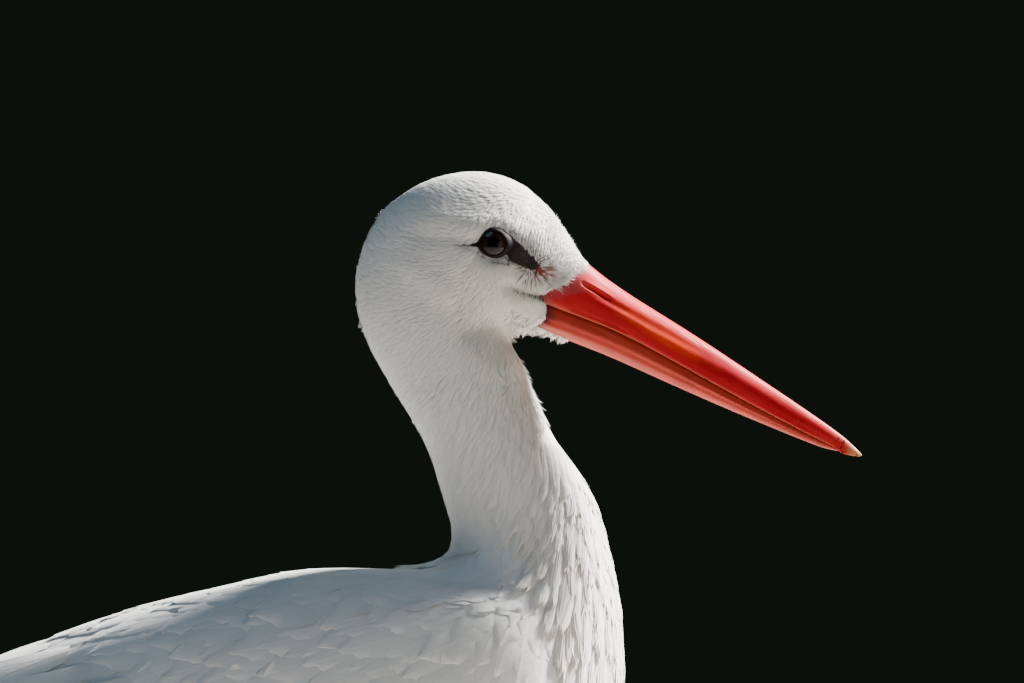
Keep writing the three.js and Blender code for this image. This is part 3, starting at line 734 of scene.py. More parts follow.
# ---- Eyes ----
# Dark brown, nearly black balls under a clear wet cornea, each sunk between its lids.
IRIS_OUTER, PUPIL = 0.0056, 0.0031
eye_gloss, eye_shader = material("wet_eye", roughness=0.05, specular_ior_level=0.24)
for side, sign in SIDES.items():
    bm = bmesh.new()
    bmesh.ops.create_uvsphere(bm, u_segments=48, v_segments=32, radius=EYE_RADIUS - 0.0001)
    for vert in bm.verts:
        cap = smoothstep(vert.co.z, EYE_RADIUS * 0.70, EYE_RADIUS)
        vert.co.z *= 1 - 0.045 * cap
        vert.co.xy *= 1 + 0.02 * cap
    bmesh.ops.rotate(bm, verts=bm.verts, matrix=Vector((0, sign, 0)).to_track_quat("Z", "Y").to_matrix())
    bmesh.ops.translate(bm, verts=bm.verts, vec=EYE[side])
    ball = mesh_of(f"eyeball_{side}", bm)
    co, no, edges = numbers_of(ball)
    add_values(ball, "from_pupil", np.hypot(*beside_eye(co).T) / 0.01)
    ball.materials.append(eye_gloss)
    show(f"eyeball_{side}", ball, [f"eye_{side}"])
from_pupil = share_of(eye_gloss, "from_pupil")
rays = noise(eye_gloss, object_place(eye_gloss), 900, 2)
iris = blend(eye_gloss, rays, (0.010, 0.006, 0.004, 1), (0.026, 0.015, 0.009, 1))
pupil_share = ramp(eye_gloss, from_pupil, [(PUPIL * 100 - 0.02, 0.0), (PUPIL * 100, 1.0)])
rim_share = ramp(eye_gloss, from_pupil, [(IRIS_OUTER * 100 - 0.03, 0.0), (IRIS_OUTER * 100 + 0.02, 1.0)])
colour = blend(eye_gloss, pupil_share, (0.002, 0.002, 0.002, 1), iris)
colour = blend(eye_gloss, rim_share, colour, (0.008, 0.006, 0.005, 1))
paint(eye_gloss, eye_shader, colour)

# Each eye's lids are a rim of black skin, wrinkled along its edge and drawn out to a point behind.
# Distance from the eye's axis and out from its middle, from under the ball's edge over two folds.
LID_PROFILE = [(5.3, 5.6), (5.75, 6.02), (5.95, 6.22), (6.2, 6.24), (6.45, 5.98), (6.65, 5.92), (6.9, 5.6)]
LID_PROFILE += [(7.5, 4.8), (8.3, 3.6)]


def mottled(name, scale, detail, stops, grain, depth, **sockets):
    """A material with a colour in soft spots and a fine grain: itself, its shader and that colour."""
    made, shader = material(name, **sockets)
    place = object_place(made)
    colour = ramp(made, noise(made, place, scale, detail), stops)
    paint(made, shader, colour)
    relief(made, shader, noise(made, place, grain, 2), depth)
    return made, shader, colour


lid_skin, _, _ = mottled(
    "lid_skin", 1500, 3.0, [(0.35, (0.004, 0.003, 0.003)), (0.75, (0.013, 0.010, 0.009))], 3500, 0.00015,
    roughness=0.62, specular_ior_level=0.14)
for side, sign in SIDES.items():
    bm = bmesh.new()
    ring = [bm.verts.new((radius / 1000, 0, out / 1000)) for radius, out in LID_PROFILE]
    for a, b in zip(ring, ring[1:]):
        bm.edges.new((a, b))
    bmesh.ops.spin(bm, geom=bm.verts[:] + bm.edges[:], angle=2 * math.pi, steps=72, axis=(0, 0, 1),
                   cent=(0, 0, 0), use_merge=True)
    for vert in bm.verts:
        turn = math.atan2(vert.co.y, vert.co.x)
        outer = float(smoothstep(vert.co.xy.length, LID_OPENING, LID_OPENING * 1.25))
        behind = math.exp(-((abs(turn) - math.pi) ** 2) / 0.10)
        ahead = math.exp(-(turn**2) / 0.22)
        vert.co.xy *= 1 + 0.05 * (behind + ahead) + outer * (0.42 * behind + 0.16 * ahead)
        vert.co.z -= 0.0012 * outer * (behind + 0.5 * ahead)
    bmesh.ops.recalc_face_normals(bm, faces=bm.faces)
    for vert in bm.verts:
        vert.co = Vector((vert.co.x, sign * vert.co.z, vert.co.y)) + EYE[side]
    if sign > 0:
        bmesh.ops.reverse_faces(bm, faces=bm.faces)
    lids = mesh_of(f"lids_{side}", bm)
    lids.materials.append(lid_skin)
    show(f"lids_{side}", lids)

# ---- Plumage of the head ----
# Short soft feathers, each a little brush of barbs: very small on the face and lids, longer over the
# crown and nape, where their rounded ends lie like scales. They are rooted in the hide and lie back.
rng = np.random.default_rng(1758)
skin_mesh.calc_loop_triangles()
triangles = np.empty(len(skin_mesh.loop_triangles) * 3, int)
skin_mesh.loop_triangles.foreach_get("vertices", triangles)
triangles = triangles.reshape(-1, 3)
corners = skin_co[triangles]
triangle_area = np.cross(corners[:, 1] - corners[:, 0], corners[:, 2] - corners[:, 0])
triangle_area = 0.5 * np.linalg.norm(triangle_area, axis=1)
PATCH = 0.003
TRIALS = 4.0  # places tried for each place wanted


def scatter(wanted, spacing):
    """Roots spread over the hide where wanted is above a half, none nearer to another than its own
    spacing. Both are given at the hide's vertices. Returns the places and their nearest vertices."""
    share = wanted[triangles].mean(1) * triangle_area / spacing[triangles].mean(1) ** 2
    count = int(share.sum() * TRIALS)
    picked = rng.choice(len(triangles), count, p=share / share.sum())
    weights = rng.dirichlet((1, 1, 1), count)
    places = np.einsum("nk,nkd->nd", weights, corners[picked])
    vertex = triangles[picked, np.argmax(weights, 1)]
    kept_within = spacing[vertex] * 0.9
    tree = KDTree(count)
    for i, p in enumerate(places):
        tree.insert(p, i)
    tree.balance()
    free = np.ones(count, bool)
    kept = []
    for i in range(count):
        if free[i]:
            kept.append(i)
            for _, j, _ in tree.find_range(places[i], kept_within[i]):
                free[j] = False
    return places[kept], vertex[kept]


def turned(ways, normals, angles):
    return ways * np.cos(angles)[:, None] + np.cross(normals, ways) * np.sin(angles)[:, None]


def walk(places, yaw, length, rows, stiffness, over):
    """From each root along the lie of the plumage: rows of places on the hide, with its normal and the
    way sideways at each. A stiff feather keeps more of the direction in which it starts."""
    nearest, smooth, lies = over
    vertex = nearest(places)
    found, normals, asides = [], [], []
    stiffness = np.broadcast_to(np.asarray(stiffness, float).reshape(-1, 1), (len(places), 1))
    way = turned(lies[vertex], smooth[vertex], yaw)
    step = (length / (rows - 1))[:, None]
    for row in range(rows):
        normal = smooth[vertex]
        found.append(places)
        normals.append(normal)
        asides.append(unit(np.cross(normal, way)))
        if row == rows - 1:
            break
        places = places + way * step
        vertex = nearest(places)
        off = np.sum((places - skin_co[vertex]) * skin_smooth[vertex], 1, keepdims=True)
        kept_up = np.clip(off, 0, 0.6 * step) * (1 - stiffness) + np.clip(off, -step, 0)
        places = places - skin_smooth[vertex] * kept_up
        field = turned(lies[vertex], smooth[vertex], yaw)
        facing = unit((1 - stiffness) * smooth[vertex] + stiffness * normal)
        way = unit(stiffness * way + (1 - stiffness) * flattened(field, facing))
    return np.stack(found, 1), np.stack(normals, 1), np.stack(asides, 1)


def hide_unwrap(places, from_bill_here, legs=False):
    """The hide unrolled: across by how far a place is from the bill, up by how far round the neck and
    body, or round the leg, it lies."""
    if legs:
        middle_y = np.sign(places[:, 1]) * LEG_Y
        round_it = np.arctan2(places[:, 1] - middle_y, places[:, 0] - places[:, 0].mean())
        round_it = round_it / (2 * math.pi) + 0.5
        return np.stack([0.02 + 0.96 * (places[:, 2] - places[:, 2].min()) / np.ptp(places[:, 2]),
                         0.02 + 0.47 * round_it + 0.49 * (places[:, 1] > 0)], 1)
    middle = np.stack([np.interp(from_bill_here, axis_way, axis_points[:, k]) for k in range(3)], 1)
    along = np.stack([np.interp(from_bill_here, axis_way, axis_ways[:, k]) for k in range(3)], 1)
    dorsal = np.stack([-along[:, 2], 0 * along[:, 0], along[:, 0]], 1)
    out = places - middle
    round_it = np.arctan2(out[:, 1], -np.sum(out * dorsal, 1)) / (2 * math.pi) + 0.5
    across = (from_bill_here - from_bill_here.min()) / np.ptp(from_bill_here)
    return np.stack([0.02 + 0.96 * across, 0.02 + 0.96 * round_it], 1)


LEG_Y = (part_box("shank_left")[0].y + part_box("shank_left")[1].y) / 2
AXIS_POINTS = 40
above_legs = skin_co[:, 2] > 0.5
bins = np.linspace(0, from_bill[above_legs].max(), AXIS_POINTS)
which = np.digitize(from_bill[above_legs], bins)
filled = [k for k in range(1, AXIS_POINTS) if (which == k).any()]
axis_way = np.array([from_bill[above_legs][which == k].mean() for k in filled])
axis_points = np.array([skin_co[above_legs][which == k].mean(0) for k in filled])
axis_points[:, 1] = 0
axis_ways = unit(np.gradient(axis_points, axis=0))


def facings(co, faces):
    """How each face of each feather lies, as its normal times its area, and the sum for each feather."""
    first, second, third = (co[:, faces[:, k]] for k in range(3))
    each = np.cross(second - first, third - first)
    return each, each.sum(1)


def joined_feathers(name, co, plan, faces, roots, coat, slot="white_plumage", replaced=(), legs=False):
    """One mesh of many feathers made to the same plan, from the places of their points. Each feather's
    faces are turned outwards, away from the hide at its root."""
    count, points = co.shape[:2]
    co[..., 2] = np.maximum(co[..., 2], 0.0002 if legs else 0)
    mesh = bpy.data.meshes.new(name)
    mesh.vertices.add(count * points)
    mesh.vertices.foreach_set("co", co.astype(np.float32).ravel())
    inwards = np.sum(facings(co, faces)[1] * skin_smooth[nearest_vertex(roots)], 1) < 0
    turned_faces = np.where(inwards[:, None, None], faces[None, :, ::-1], faces[None])
    corners_of = (turned_faces + (np.arange(count) * points)[:, None, None]).ravel()
    mesh.loops.add(len(corners_of))
    mesh.loops.foreach_set("vertex_index", corners_of.astype(np.int32))
    mesh.polygons.add(len(corners_of) // 3)
    mesh.polygons.foreach_set("loop_start", np.arange(0, len(corners_of), 3, dtype=np.int32))
    mesh.update(calc_edges=True)
    mesh.validate()
    flat = np.stack([0.5 + 0.5 * plan[:, 1] / np.abs(plan[:, 1]).max(), plan[:, 0]], 1)
    at_root = hide_unwrap(roots, from_bill[nearest_vertex(roots)], legs)
    of_root = at_root[:, None, :] + (flat[None] - 0.5) * PATCH
    for map_name, values in (("vane", np.broadcast_to(flat[None], of_root.shape)), ("OFBake", of_root)):
        uv = mesh.uv_layers.new(name=map_name)
        uv.data.foreach_set("uv", values.reshape(-1, 2)[corners_of].astype(np.float32).ravel())
    add_values(mesh, "tone", np.repeat(rng.uniform(0, 1, count), points))
    add_values(mesh, "black", np.repeat(marked(roots, BLACK_STRETCHES, 0.0008), points))
    add_values(mesh, "red", np.repeat(marked(roots, RED_STRETCHES, 0.0008), points))
    mesh.materials.append(coat)
    show(name, mesh, replaced)


STRAIGHT = 0.55  # cosine of the sharpest turn between two rows of a feather
STIFF = 0.45  # for a feather that would turn more sharply than that
FOLDED = 0.02  # share of a feather's area that may be turned over


def dress(name, roots, length, half_width, rise, plan, faces, coat, slot="white_plumage", yaw=0.12,
          rows=3, stiffness=0.0, loose=0.25, sink=0.0003, legs=False, uneven=0.15, lift=0.5, toward=0.0,
          over=WHOLE_HIDE, stand=None):
    """One piece of plumage: the planned feather at every root, as one mesh. A plan's points give the
    share of the feather's length, of its half width and of its rise, and how loose the point is. With a
    low lift a feather reaches its full rise soon, so that it lies flat over the next ones. Where stand
    is given, no point stands further than that above its rise, and feathers that then fold are left out."""
    count, points = len(roots), len(plan)
    rise = rise * rng.uniform(1 - uneven, 1 + uneven, count)
    turns = toward + rng.normal(0, yaw, count)
    base, normals, asides = walk(roots, turns, length, rows, stiffness, over)
    steps = unit(np.diff(base, axis=1))
    calm = np.min(np.sum(asides[:, 1:] * asides[:, :-1], 2), 1) > STRAIGHT
    if rows > 2:
        calm &= np.min(np.sum(steps[:, 1:] * steps[:, :-1], 2), 1) > STRAIGHT
    if not calm.all():
        again = walk(roots[~calm], turns[~calm], length[~calm], rows, STIFF, over)
        base[~calm], normals[~calm], asides[~calm] = again
    along = plan[None, :, 0] + plan[None, :, 3] * rng.uniform(-1, 0.35, (count, points)) * loose * 0.6
    along = np.clip(along, 0, 1) * (rows - 1)
    lower = np.minimum(along.astype(int), rows - 2)
    share = (along - lower)[..., None]
    each = np.arange(count)[:, None]

    def carried(values):
        return values[each, lower] * (1 - share) + values[each, lower + 1] * share

    across = plan[None, :, 1] + plan[None, :, 3] * rng.normal(0, loose, (count, points))
    height = plan[None, :, 2] + plan[None, :, 3] * rng.normal(0, 0.35 * loose, (count, points))
    up = rise[:, None] * (along / (rows - 1)) ** lift - sink + height * half_width[:, None]
    co = carried(base) + carried(asides) * (across * half_width[:, None])[..., None]
    co = co + carried(normals) * up[..., None]
    if stand is not None:
        under = over[0](co.reshape(-1, 3))
        out = over[1][under]
        gap = np.sum((co.reshape(-1, 3) - skin_co[under]) * out, 1) - up.ravel()
        co = co - (out * np.clip(gap - stand, 0, 0.004)[:, None]).reshape(co.shape)
        each, whole = facings(co, faces)
        turned_over = np.minimum(np.sum(each * whole[:, None], 2), 0).sum(1) / np.sum(whole**2, 1)
        flat_enough = turned_over > -FOLDED
        co, roots = co[flat_enough], roots[flat_enough]
    return joined_feathers(name, co, plan, faces, roots, coat, slot, (), legs)


def brush_plan(barbs, rows, bulge=0.15):
    """A small brush: narrow pointed barbs side by side, those at the sides a little shorter."""
    points, faces = [], []
    for aside in np.linspace(-0.8, 0.8, barbs):
        first = len(points)
        tip_at = 1 - 0.22 * aside**2
        for row in range(rows):
            at = row / rows
            half = (1.25 + 0.7 * math.sin(math.pi * at)) / barbs
            middle = aside * (0.45 + 0.55 * min(1, at * 1.8))
            for way in (-1, 1):
                beside_it = middle + way * half
                points.append((at * tip_at, beside_it, 0.05 - bulge * beside_it**2, 0.15 * at))
        points.append((tip_at, aside * 0.92, -bulge * aside**2, 0.8))
        for row in range(rows - 1):
            a, b, c, d = (first + 2 * row + k for k in (0, 1, 3, 2))
            faces += [(a, b, c), (a, c, d)]
        last = first + 2 * (rows - 1)
        faces.append((last, last + 1, len(points) - 1))
    return np.array(points), np.array(faces)


def plumage(name, white, shade, sheen=0.15):
    """Soft feather: off-white, with painted shade towards its root where the feathers cover one another, each
    feather slightly its own tone, with the bare face's black and red where they are rooted in it."""
    made, shader = material(name, roughness=0.75, sheen_weight=sheen, sheen_roughness=0.4)
    vane = node(made, "UVMap", uv_map="vane").outputs["UV"]
    along = node(made, "SeparateXYZ", {"Vector": vane}).outputs["Y"]
    colour = blend(made, ramp(made, along, [(0.10, 0.0), (0.60, 1.0)]), (*shade, 1), (*white, 1))
    tone = ramp(made, share_of(made, "tone"), [(0.0, 0.95), (1.0, 1.0)])
    colour = blend(made, 1.0, colour, tone, "MULTIPLY")
    colour = blend(made, share_of(made, "red"), colour, (0.50, 0.06, 0.04, 1))
    colour = blend(made, share_of(made, "black"), colour, (0.014, 0.011, 0.010, 1))
    paint(made, shader, colour)
    return made, shader


WHITE = (0.86, 0.84, 0.80)
face_white, _ = plumage("face_plumage", WHITE, (0.83, 0.79, 0.73))
flat = beside_eye(skin_co)
from_eye = np.linalg.norm(flat, axis=1)
beside = np.abs(skin_co[:, 1]) > HEAD_MIDDLE
bare = np.min([outside_stretch(flat, *s) for s in BLACK_STRETCHES[:4]], axis=0)
under_chin = (skin_no[:, 2] < -0.75) & (np.abs(skin_co[:, 1]) < 0.0045) & (flat[:, 0] < 0.035)
feathered = (bare > 0.0003) | ~beside | (from_eye > 0.035)
feathered &= (ahead_of_edge(flat) < -0.0004) | under_chin
to_edge = np.maximum(-ahead_of_edge(flat), 0)
barb_length = 0.0026 + 0.0045 * smoothstep(from_bill, 0.004, 0.050)
near_eye = np.where(beside, np.minimum(from_eye - 0.0066, bare + 0.003), 1)
barb_length = np.minimum(barb_length, 0.0019 + 0.32 * np.maximum(near_eye, 0))
# How far above the line from the throat to the nape a place lies, below which the neck starts.
above_neck = skin_co[:, 2] - 0.20 * (skin_co[:, 0] - EYE["left"].x) - (EYE["left"].z - 0.056)
on_head = feathered & (above_neck > 0)
face_part = on_head & (from_bill < 0.045)
plan, faces = brush_plan(4, 2)
roots, vertex = scatter(face_part.astype(float), 0.165 * barb_length)
size = barb_length[vertex] * rng.uniform(0.85, 1.2, len(vertex))
dress("face_feathers", roots, size, 0.11 * size, 0.05 * size + 0.0005, plan, faces, face_white, yaw=0.10)

plan, faces = brush_plan(5, 3)
crown_length = 0.0070 + 0.0035 * smoothstep(from_bill, 0.045, 0.10)
roots, vertex = scatter((on_head & ~face_part).astype(float), 0.130 * crown_length)
size = crown_length[vertex] * rng.uniform(0.85, 1.15, len(vertex))
dress("crown_feathers", roots, size, 0.13 * size, 0.02 * size + 0.0011, plan, faces, face_white, rows=4,
      yaw=0.08, loose=0.12, uneven=0.05, lift=0.3)


# Stiff hair-like bristles stand on the lores and spread forwards and down over the corner of the mouth
# and the bill's base; a few are dark. Loose white ones hang from the chin and stand on the throat.
def swing_to(vertex, wanted):
    """The turn from the plumage's lie to a wanted way, at each of the vertices."""
    wanted = flattened(wanted, skin_smooth[vertex])
    aside = np.cross(skin_smooth[vertex], skin_lie[vertex])
    return np.arctan2(np.sum(wanted * aside, 1), np.sum(wanted * skin_lie[vertex], 1))


def hair_plan(rows):
    """One hair: a narrow strip with a raised middle that ends in a point."""
    points, faces = [], []
    for row in range(rows):
        at = row / rows
        half = 1 - 0.75 * at
        points += [(at, -half, 0, 0), (at, 0, half, 0), (at, half, 0, 0)]
    points.append((1, 0, 0, 0))
    for row in range(rows - 1):
        for column in (0, 1):
            a = 3 * row + column
            faces += [(a, a + 1, a + 4), (a, a + 4, a + 3)]
    last = 3 * (rows - 1)
    faces += [(last, last + 1, last + 3), (last + 1, last + 2, last + 3)]
    return np.array(points, float), np.array(faces)


LORES = np.array((0.0190, -0.0120))
bristle_dark, _ = material("dark_bristle", base_color=(0.016, 0.010, 0.010, 1), roughness=0.5)
plan, faces = hair_plan(5)
from_lores = np.linalg.norm(flat - LORES, axis=1)
in_corner = np.min([outside_stretch(flat, *BLACK_STRETCHES[k]) for k in (0, 5)], axis=0) < 0.0004
spread_here = beside & feathered & (to_edge < 0.013) & (flat[:, 0] > 0.008) & (flat[:, 1] > -0.026)
dark_skin = beside & (from_eye > 0.0078) & (in_corner | (bare < 0.0006) & (flat[:, 0] > 0))
for name, where, apart, length, thick, coat in (
    ("white_bristles", spread_here, 0.00062, 0.0050, 0.00013, face_white),
    ("dark_bristles", beside & (from_lores < 0.0050), 0.0012, 0.0085, 0.00017, bristle_dark),
    ("dark_down", dark_skin, 0.0006, 0.0028, 0.00014, bristle_dark),
):
    roots, vertex = scatter(where.astype(float), np.full(len(skin_co), apart))
    outwards = beside_eye(roots) - LORES + (0.0015, -0.0010)
    turn = swing_to(vertex, np.stack([outwards[:, 0], 0 * outwards[:, 0], outwards[:, 1]], 1))
    size = length * rng.uniform(0.65, 1.2, len(vertex))
    dress(name, roots, size, np.full(len(size), thick), 0.10 * size + 0.0006, plan, faces, coat, rows=6,
          yaw=0.22, stiffness=0.75, toward=turn, lift=0.8)

chin = feathered & (skin_no[:, 2] < -0.6) & (flat[:, 0] > 0.008) & (above_neck > 0.002)
plan, faces = brush_plan(3, 3)
roots, vertex = scatter((chin & (flat[:, 1] > -0.055)).astype(float), np.full(len(skin_co), 0.0011))
size = rng.uniform(0.0030, 0.0055, len(vertex))
turn = swing_to(vertex, np.broadcast_to((-0.6, 0.0, -1.0), roots.shape))
dress("chin_bristles", roots, size, 0.06 * size, 0.62 * size, plan, faces, face_white, rows=4, yaw=0.5,
      toward=turn, uneven=0.45, lift=1.0)

# ---- Plumage of the neck ----
# Narrow, hair-like feathers that hang down the neck, longer towards its foot.
neck_white, _ = plumage("neck_plumage", WHITE, (0.83, 0.79, 0.73))
BREAST_TOP = EYE["left"].z - 0.125
neck_lower_edge = BREAST_TOP + 0.3 * (skin_co[:, 0] - EYE["left"].x)
on_neck = feathered & (above_neck <= 0) & (skin_co[:, 2] > neck_lower_edge - 0.012) & (skin_co[:, 0] > 0.115)
hair_length = 0.0120 + 0.0120 * (1 - smoothstep(skin_co[:, 2], BREAST_TOP, BREAST_TOP + 0.07))
in_bend = smoothstep(-skin_smooth[:, 0], -0.1, 0.3)
in_bend *= 1 - smoothstep(skin_co[:, 2], neck_lower_edge + 0.005, neck_lower_edge + 0.035)
hair_length *= 1 - 0.55 * in_bend
plan, faces = brush_plan(5, 4)
upper_neck = on_neck & (skin_co[:, 2] > BREAST_TOP + 0.030)
for name, part in (("upper_neck_feathers", upper_neck), ("lower_neck_feathers", on_neck & ~upper_neck)):
    roots, vertex = scatter(part.astype(float), 0.080 * hair_length)
    size = hair_length[vertex] * rng.uniform(0.8, 1.2, len(vertex))
    bend = in_bend[vertex]
    dress(name, roots, size, 0.075 * size + 0.0008 * bend, 0.03 * size + 0.0011 - 0.0005 * bend, plan, faces,
          neck_white, rows=5, yaw=0.08, uneven=0.25)

throat = on_neck & (skin_smooth[:, 0] > 0.55) & (skin_co[:, 2] > EYE["left"].z - 0.085)
plan, faces = brush_plan(3, 3)
roots, vertex = scatter(throat.astype(float), np.full(len(skin_co), 0.0022))
size = rng.uniform(0.0050, 0.0085, len(vertex))
dress("throat_fringe", roots, size, 0.05 * size, 0.40 * size, plan, faces, neck_white, rows=4, yaw=0.3,
      uneven=0.4, lift=1.0)


# ---- Plumage of the breast, back, flanks and wings ----
# Feathers with a shaft and two webs. Those of the breast hang as soft rounded locks whose tips stand a
# little free; on the back, the flanks and the wings they are broad and lie closely over one another.
def vane_plan(rows, columns, outline, camber, ragged):
    """A feather on a grid of points: outline gives its half width at each share of its length."""
    points, faces = [], []
    for row in range(rows):
        at = row / (rows - 1)
        for column in range(columns):
            aside = -1 + 2 * column / (columns - 1)
            drawn_back = 0.10 * aside**2 * at**2
            edge = abs(aside) > 0.99 or row == rows - 1
            loose = ragged if edge and row > 1 else 0
            points.append((at - drawn_back, aside * outline(at), -camber * aside**2, loose))
    for row in range(rows - 1):
        for column in range(columns - 1):
            a = row * columns + column
            faces += [(a, a + 1, a + columns + 1), (a, a + columns + 1, a + columns)]
    return np.array(points), np.array(faces)


def round_end(at):
    return min(1.0, 0.30 + 1.5 * at) * math.sqrt(max(0.05, 1 - max(0, (at - 0.58) / 0.43) ** 2))


def lance_end(at):
    return min(1.0, 0.35 + 1.6 * at) * max(0.12, 1 - max(0, (at - 0.50) / 0.52) ** 2.0)


def barbed(made, shader, angle, count, depth):
    """Fine ribs that run aslant from the shaft to the edge of each web."""
    vane = node(made, "UVMap", uv_map="vane").outputs["UV"]
    parts = node(made, "SeparateXYZ", {"Vector": vane})
    aside = combined(made, "ABSOLUTE", combined(made, "SUBTRACT", parts.outputs["X"], 0.5))
    slant = combined(made, "MULTIPLY_ADD", aside, -angle, parts.outputs["Y"])
    wave = combined(made, "SINE", combined(made, "MULTIPLY", slant, count * 2 * math.pi))
    shaft = ramp(made, aside, [(0.0, 1.0), (0.035, 0.0)])
    height = node(made, "Math", {0: wave, 1: 0.35, 2: shaft}, operation="MULTIPLY_ADD").outputs[0]
    relief(made, shader, height, depth)


breast_white, breast_shader = plumage("breast_plumage", (0.87, 0.84, 0.79), (0.78, 0.72, 0.63))
barbed(breast_white, breast_shader, 0.35, 36, 0.00005)
back_white, back_shader = plumage("back_plumage", (0.85, 0.845, 0.83), (0.80, 0.79, 0.77))
barbed(back_white, back_shader, 0.45, 60, 0.00005)


def wing_flat(x, z):
    """A place in the side view from millimetres ahead of a mark on the wing's front and above the floor."""
    return (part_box("wing_left")[1].x + (x - 37) / 1000, z / 1000)


x, y, z = skin_co.T
at_throat = (z > BREAST_TOP + 0.03) & (ahead_of_edge(flat) > -0.002)
body = (z > 0.505) & (above_neck <= 0) & ~on_neck & ~at_throat
on_breast = body & (z > 0.60) & (x > shoulder_x - 0.060 + 0.10 * np.abs(y) / 0.06) & (skin_smooth[:, 2] < 0.6)
border_x = [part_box("secondaries_left")[1].x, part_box("secondaries_left")[0].x]
white_border = np.interp(x, [border_x[0] - 0.27, border_x[0]], [0.613, 0.556])
on_wing = body & ~on_breast & (np.abs(y) > 0.045) & (z > white_border - 0.004) & (x < shoulder_x + 0.004)
on_back = body & ~on_breast & ~on_wing & (skin_smooth[:, 2] > 0.05)
on_belly = body & ~on_breast & ~on_wing & ~on_back & ((z < 0.585) | (x > shoulder_x - 0.05))

outer = (skin_no[:, 2] > -0.35) & (skin_no[:, 0] > -0.6) & (skin_no[:, 1] * np.sign(y) > -0.3) & body
outer_smooth = unit(spread_out(skin_no * outer[:, None], edges, 0.6, 10))
outer_lie = flattened((1 - breast_share) * BACKWARDS + breast_share * DOWN_BREAST, outer_smooth)
OUTER_HIDE = (nearest_among(outer), outer_smooth, outer_lie)

plan, faces = brush_plan(8, 5, 0.45)
lower = 1 - smoothstep(z, 0.655, 0.755)
size = 0.025 + 0.015 * lower
roots, vertex = scatter(on_breast.astype(float), 0.120 * size)
lower, size = lower[vertex], size[vertex] * rng.uniform(0.8, 1.2, len(vertex))
dress("breast_feathers", roots, size, 0.155 * size, (0.04 + 0.05 * lower) * size + 0.0008, plan, faces,
      breast_white, rows=6, yaw=0.12, stiffness=0.35, loose=0.18, uneven=0.3, lift=0.7)

size = np.where(x < shoulder_x, 0.030, 0.024)
roots, vertex = scatter((on_belly & (skin_smooth[:, 0] > -0.8)).astype(float), 0.165 * size)
size = size[vertex] * rng.uniform(0.8, 1.2, len(vertex))
dress("belly_feathers", roots, size, 0.14 * size, 0.06 * size, plan, faces, breast_white, rows=6, yaw=0.12,
      stiffness=0.45, loose=0.18, uneven=0.3, lift=0.6)

plan, faces = vane_plan(7, 6, round_end, 0.10, 0.15)
for name, part, length in (
    ("back_feathers", on_back & outer & (skin_smooth[:, 0] > -0.45), 0.046),
    ("left_wing_coverts", on_wing & outer & (y > 0), 0.044),
    ("right_wing_coverts", on_wing & outer & (y < 0), 0.044),
):
    size = length * (0.55 + 0.55 * smoothstep(-x, -shoulder_x - 0.01, -shoulder_x + 0.10))
    part = part & (x > wing_flat(-250, 0)[0])
    if "coverts" in name:
        part = part & (z > white_border + 0.78 * size)
    roots, vertex = scatter(part.astype(float), 0.150 * size)
    size = size[vertex] * rng.uniform(0.9, 1.1, len(vertex))
    dress(name, roots, size, 0.30 * size, 0.04 * size, plan, faces, back_white, rows=6, yaw=0.05,
          stiffness=0.4, uneven=0.05, lift=0.4, over=OUTER_HIDE,
          stand=0.0035 if "coverts" in name else 0.0004)

on_thigh = (z <= 0.505) & (z > TROUSER_EDGE + 0.002)
plan, faces = vane_plan(6, 5, lance_end, 0.30, 0.35)
size = 0.022 + 0.014 * smoothstep(z, 0.40, 0.48)
roots, vertex = scatter(on_thigh.astype(float), 0.14 * size)
size = size[vertex] * rng.uniform(0.8, 1.2, len(vertex))
dress("thigh_feathers", roots, size, 0.13 * size, 0.04 * size + 0.0010, plan, faces, breast_white, rows=5,
      yaw=0.12, stiffness=0.3, legs=True)

# ---- Flight feathers and tail ----
# Long stiff feathers with a strong shaft: those of the wing black with a faint gloss, folded over one
# another so that only their edges and ends show, the tail's white, closed to a narrow fan.
def shell(surface_nodes, axis, side):
    """Reads the outer surface of some solids: from two coordinates across the axis to a whole point."""
    tree = tree_of(*(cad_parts[name].data for name in surface_nodes))
    across = [k for k in range(3) if k != axis]

    def point_at(flat, spare):
        start = [0.0, 0.0, 0.0]
        start[axis] = side
        start[across[0]], start[across[1]] = flat
        way = [0.0, 0.0, 0.0]
        way[axis] = -side
        hit = tree.ray_cast(Vector(start), Vector(way))[0]
        point = np.array(start)
        point[axis] = hit[axis] if hit else spare
        return point, point[axis]

    return point_at


def laid_feather(point_at, axis, side, root, tip, half_width, inset, plan, start_height, bend=0.0,
                 root_depth=0.007):
    """Places of a planned feather laid along a surface between two flat points, sunk a little into it. A
    feather is stiff, so it only bends gently with the surface below it."""
    root, tip = np.array(root), np.array(tip)
    way = tip - root
    aside = np.array([-way[1], way[0]]) / np.linalg.norm(way)
    at, across, up, loose = plan.T
    flat = root + way * at[:, None] + aside * (across * half_width + bend * 4 * at * (1 - at))[:, None]
    co, hits = np.empty((len(plan), 3)), np.empty(len(plan))
    for i in range(len(plan)):
        co[i], hits[i] = point_at(flat[i], np.nan)
    terms = np.stack([np.ones(len(plan)), at, at**2, across, at * across], 1)
    met = ~np.isnan(hits)
    if met.sum() > 12:
        co[:, axis] = terms @ np.linalg.lstsq(terms[met], hits[met], rcond=1e-6)[0]
    else:
        co[:, axis] = start_height
    co[:, axis] += side * (up * half_width - inset - root_depth * (1 - at) ** 2)
    return co


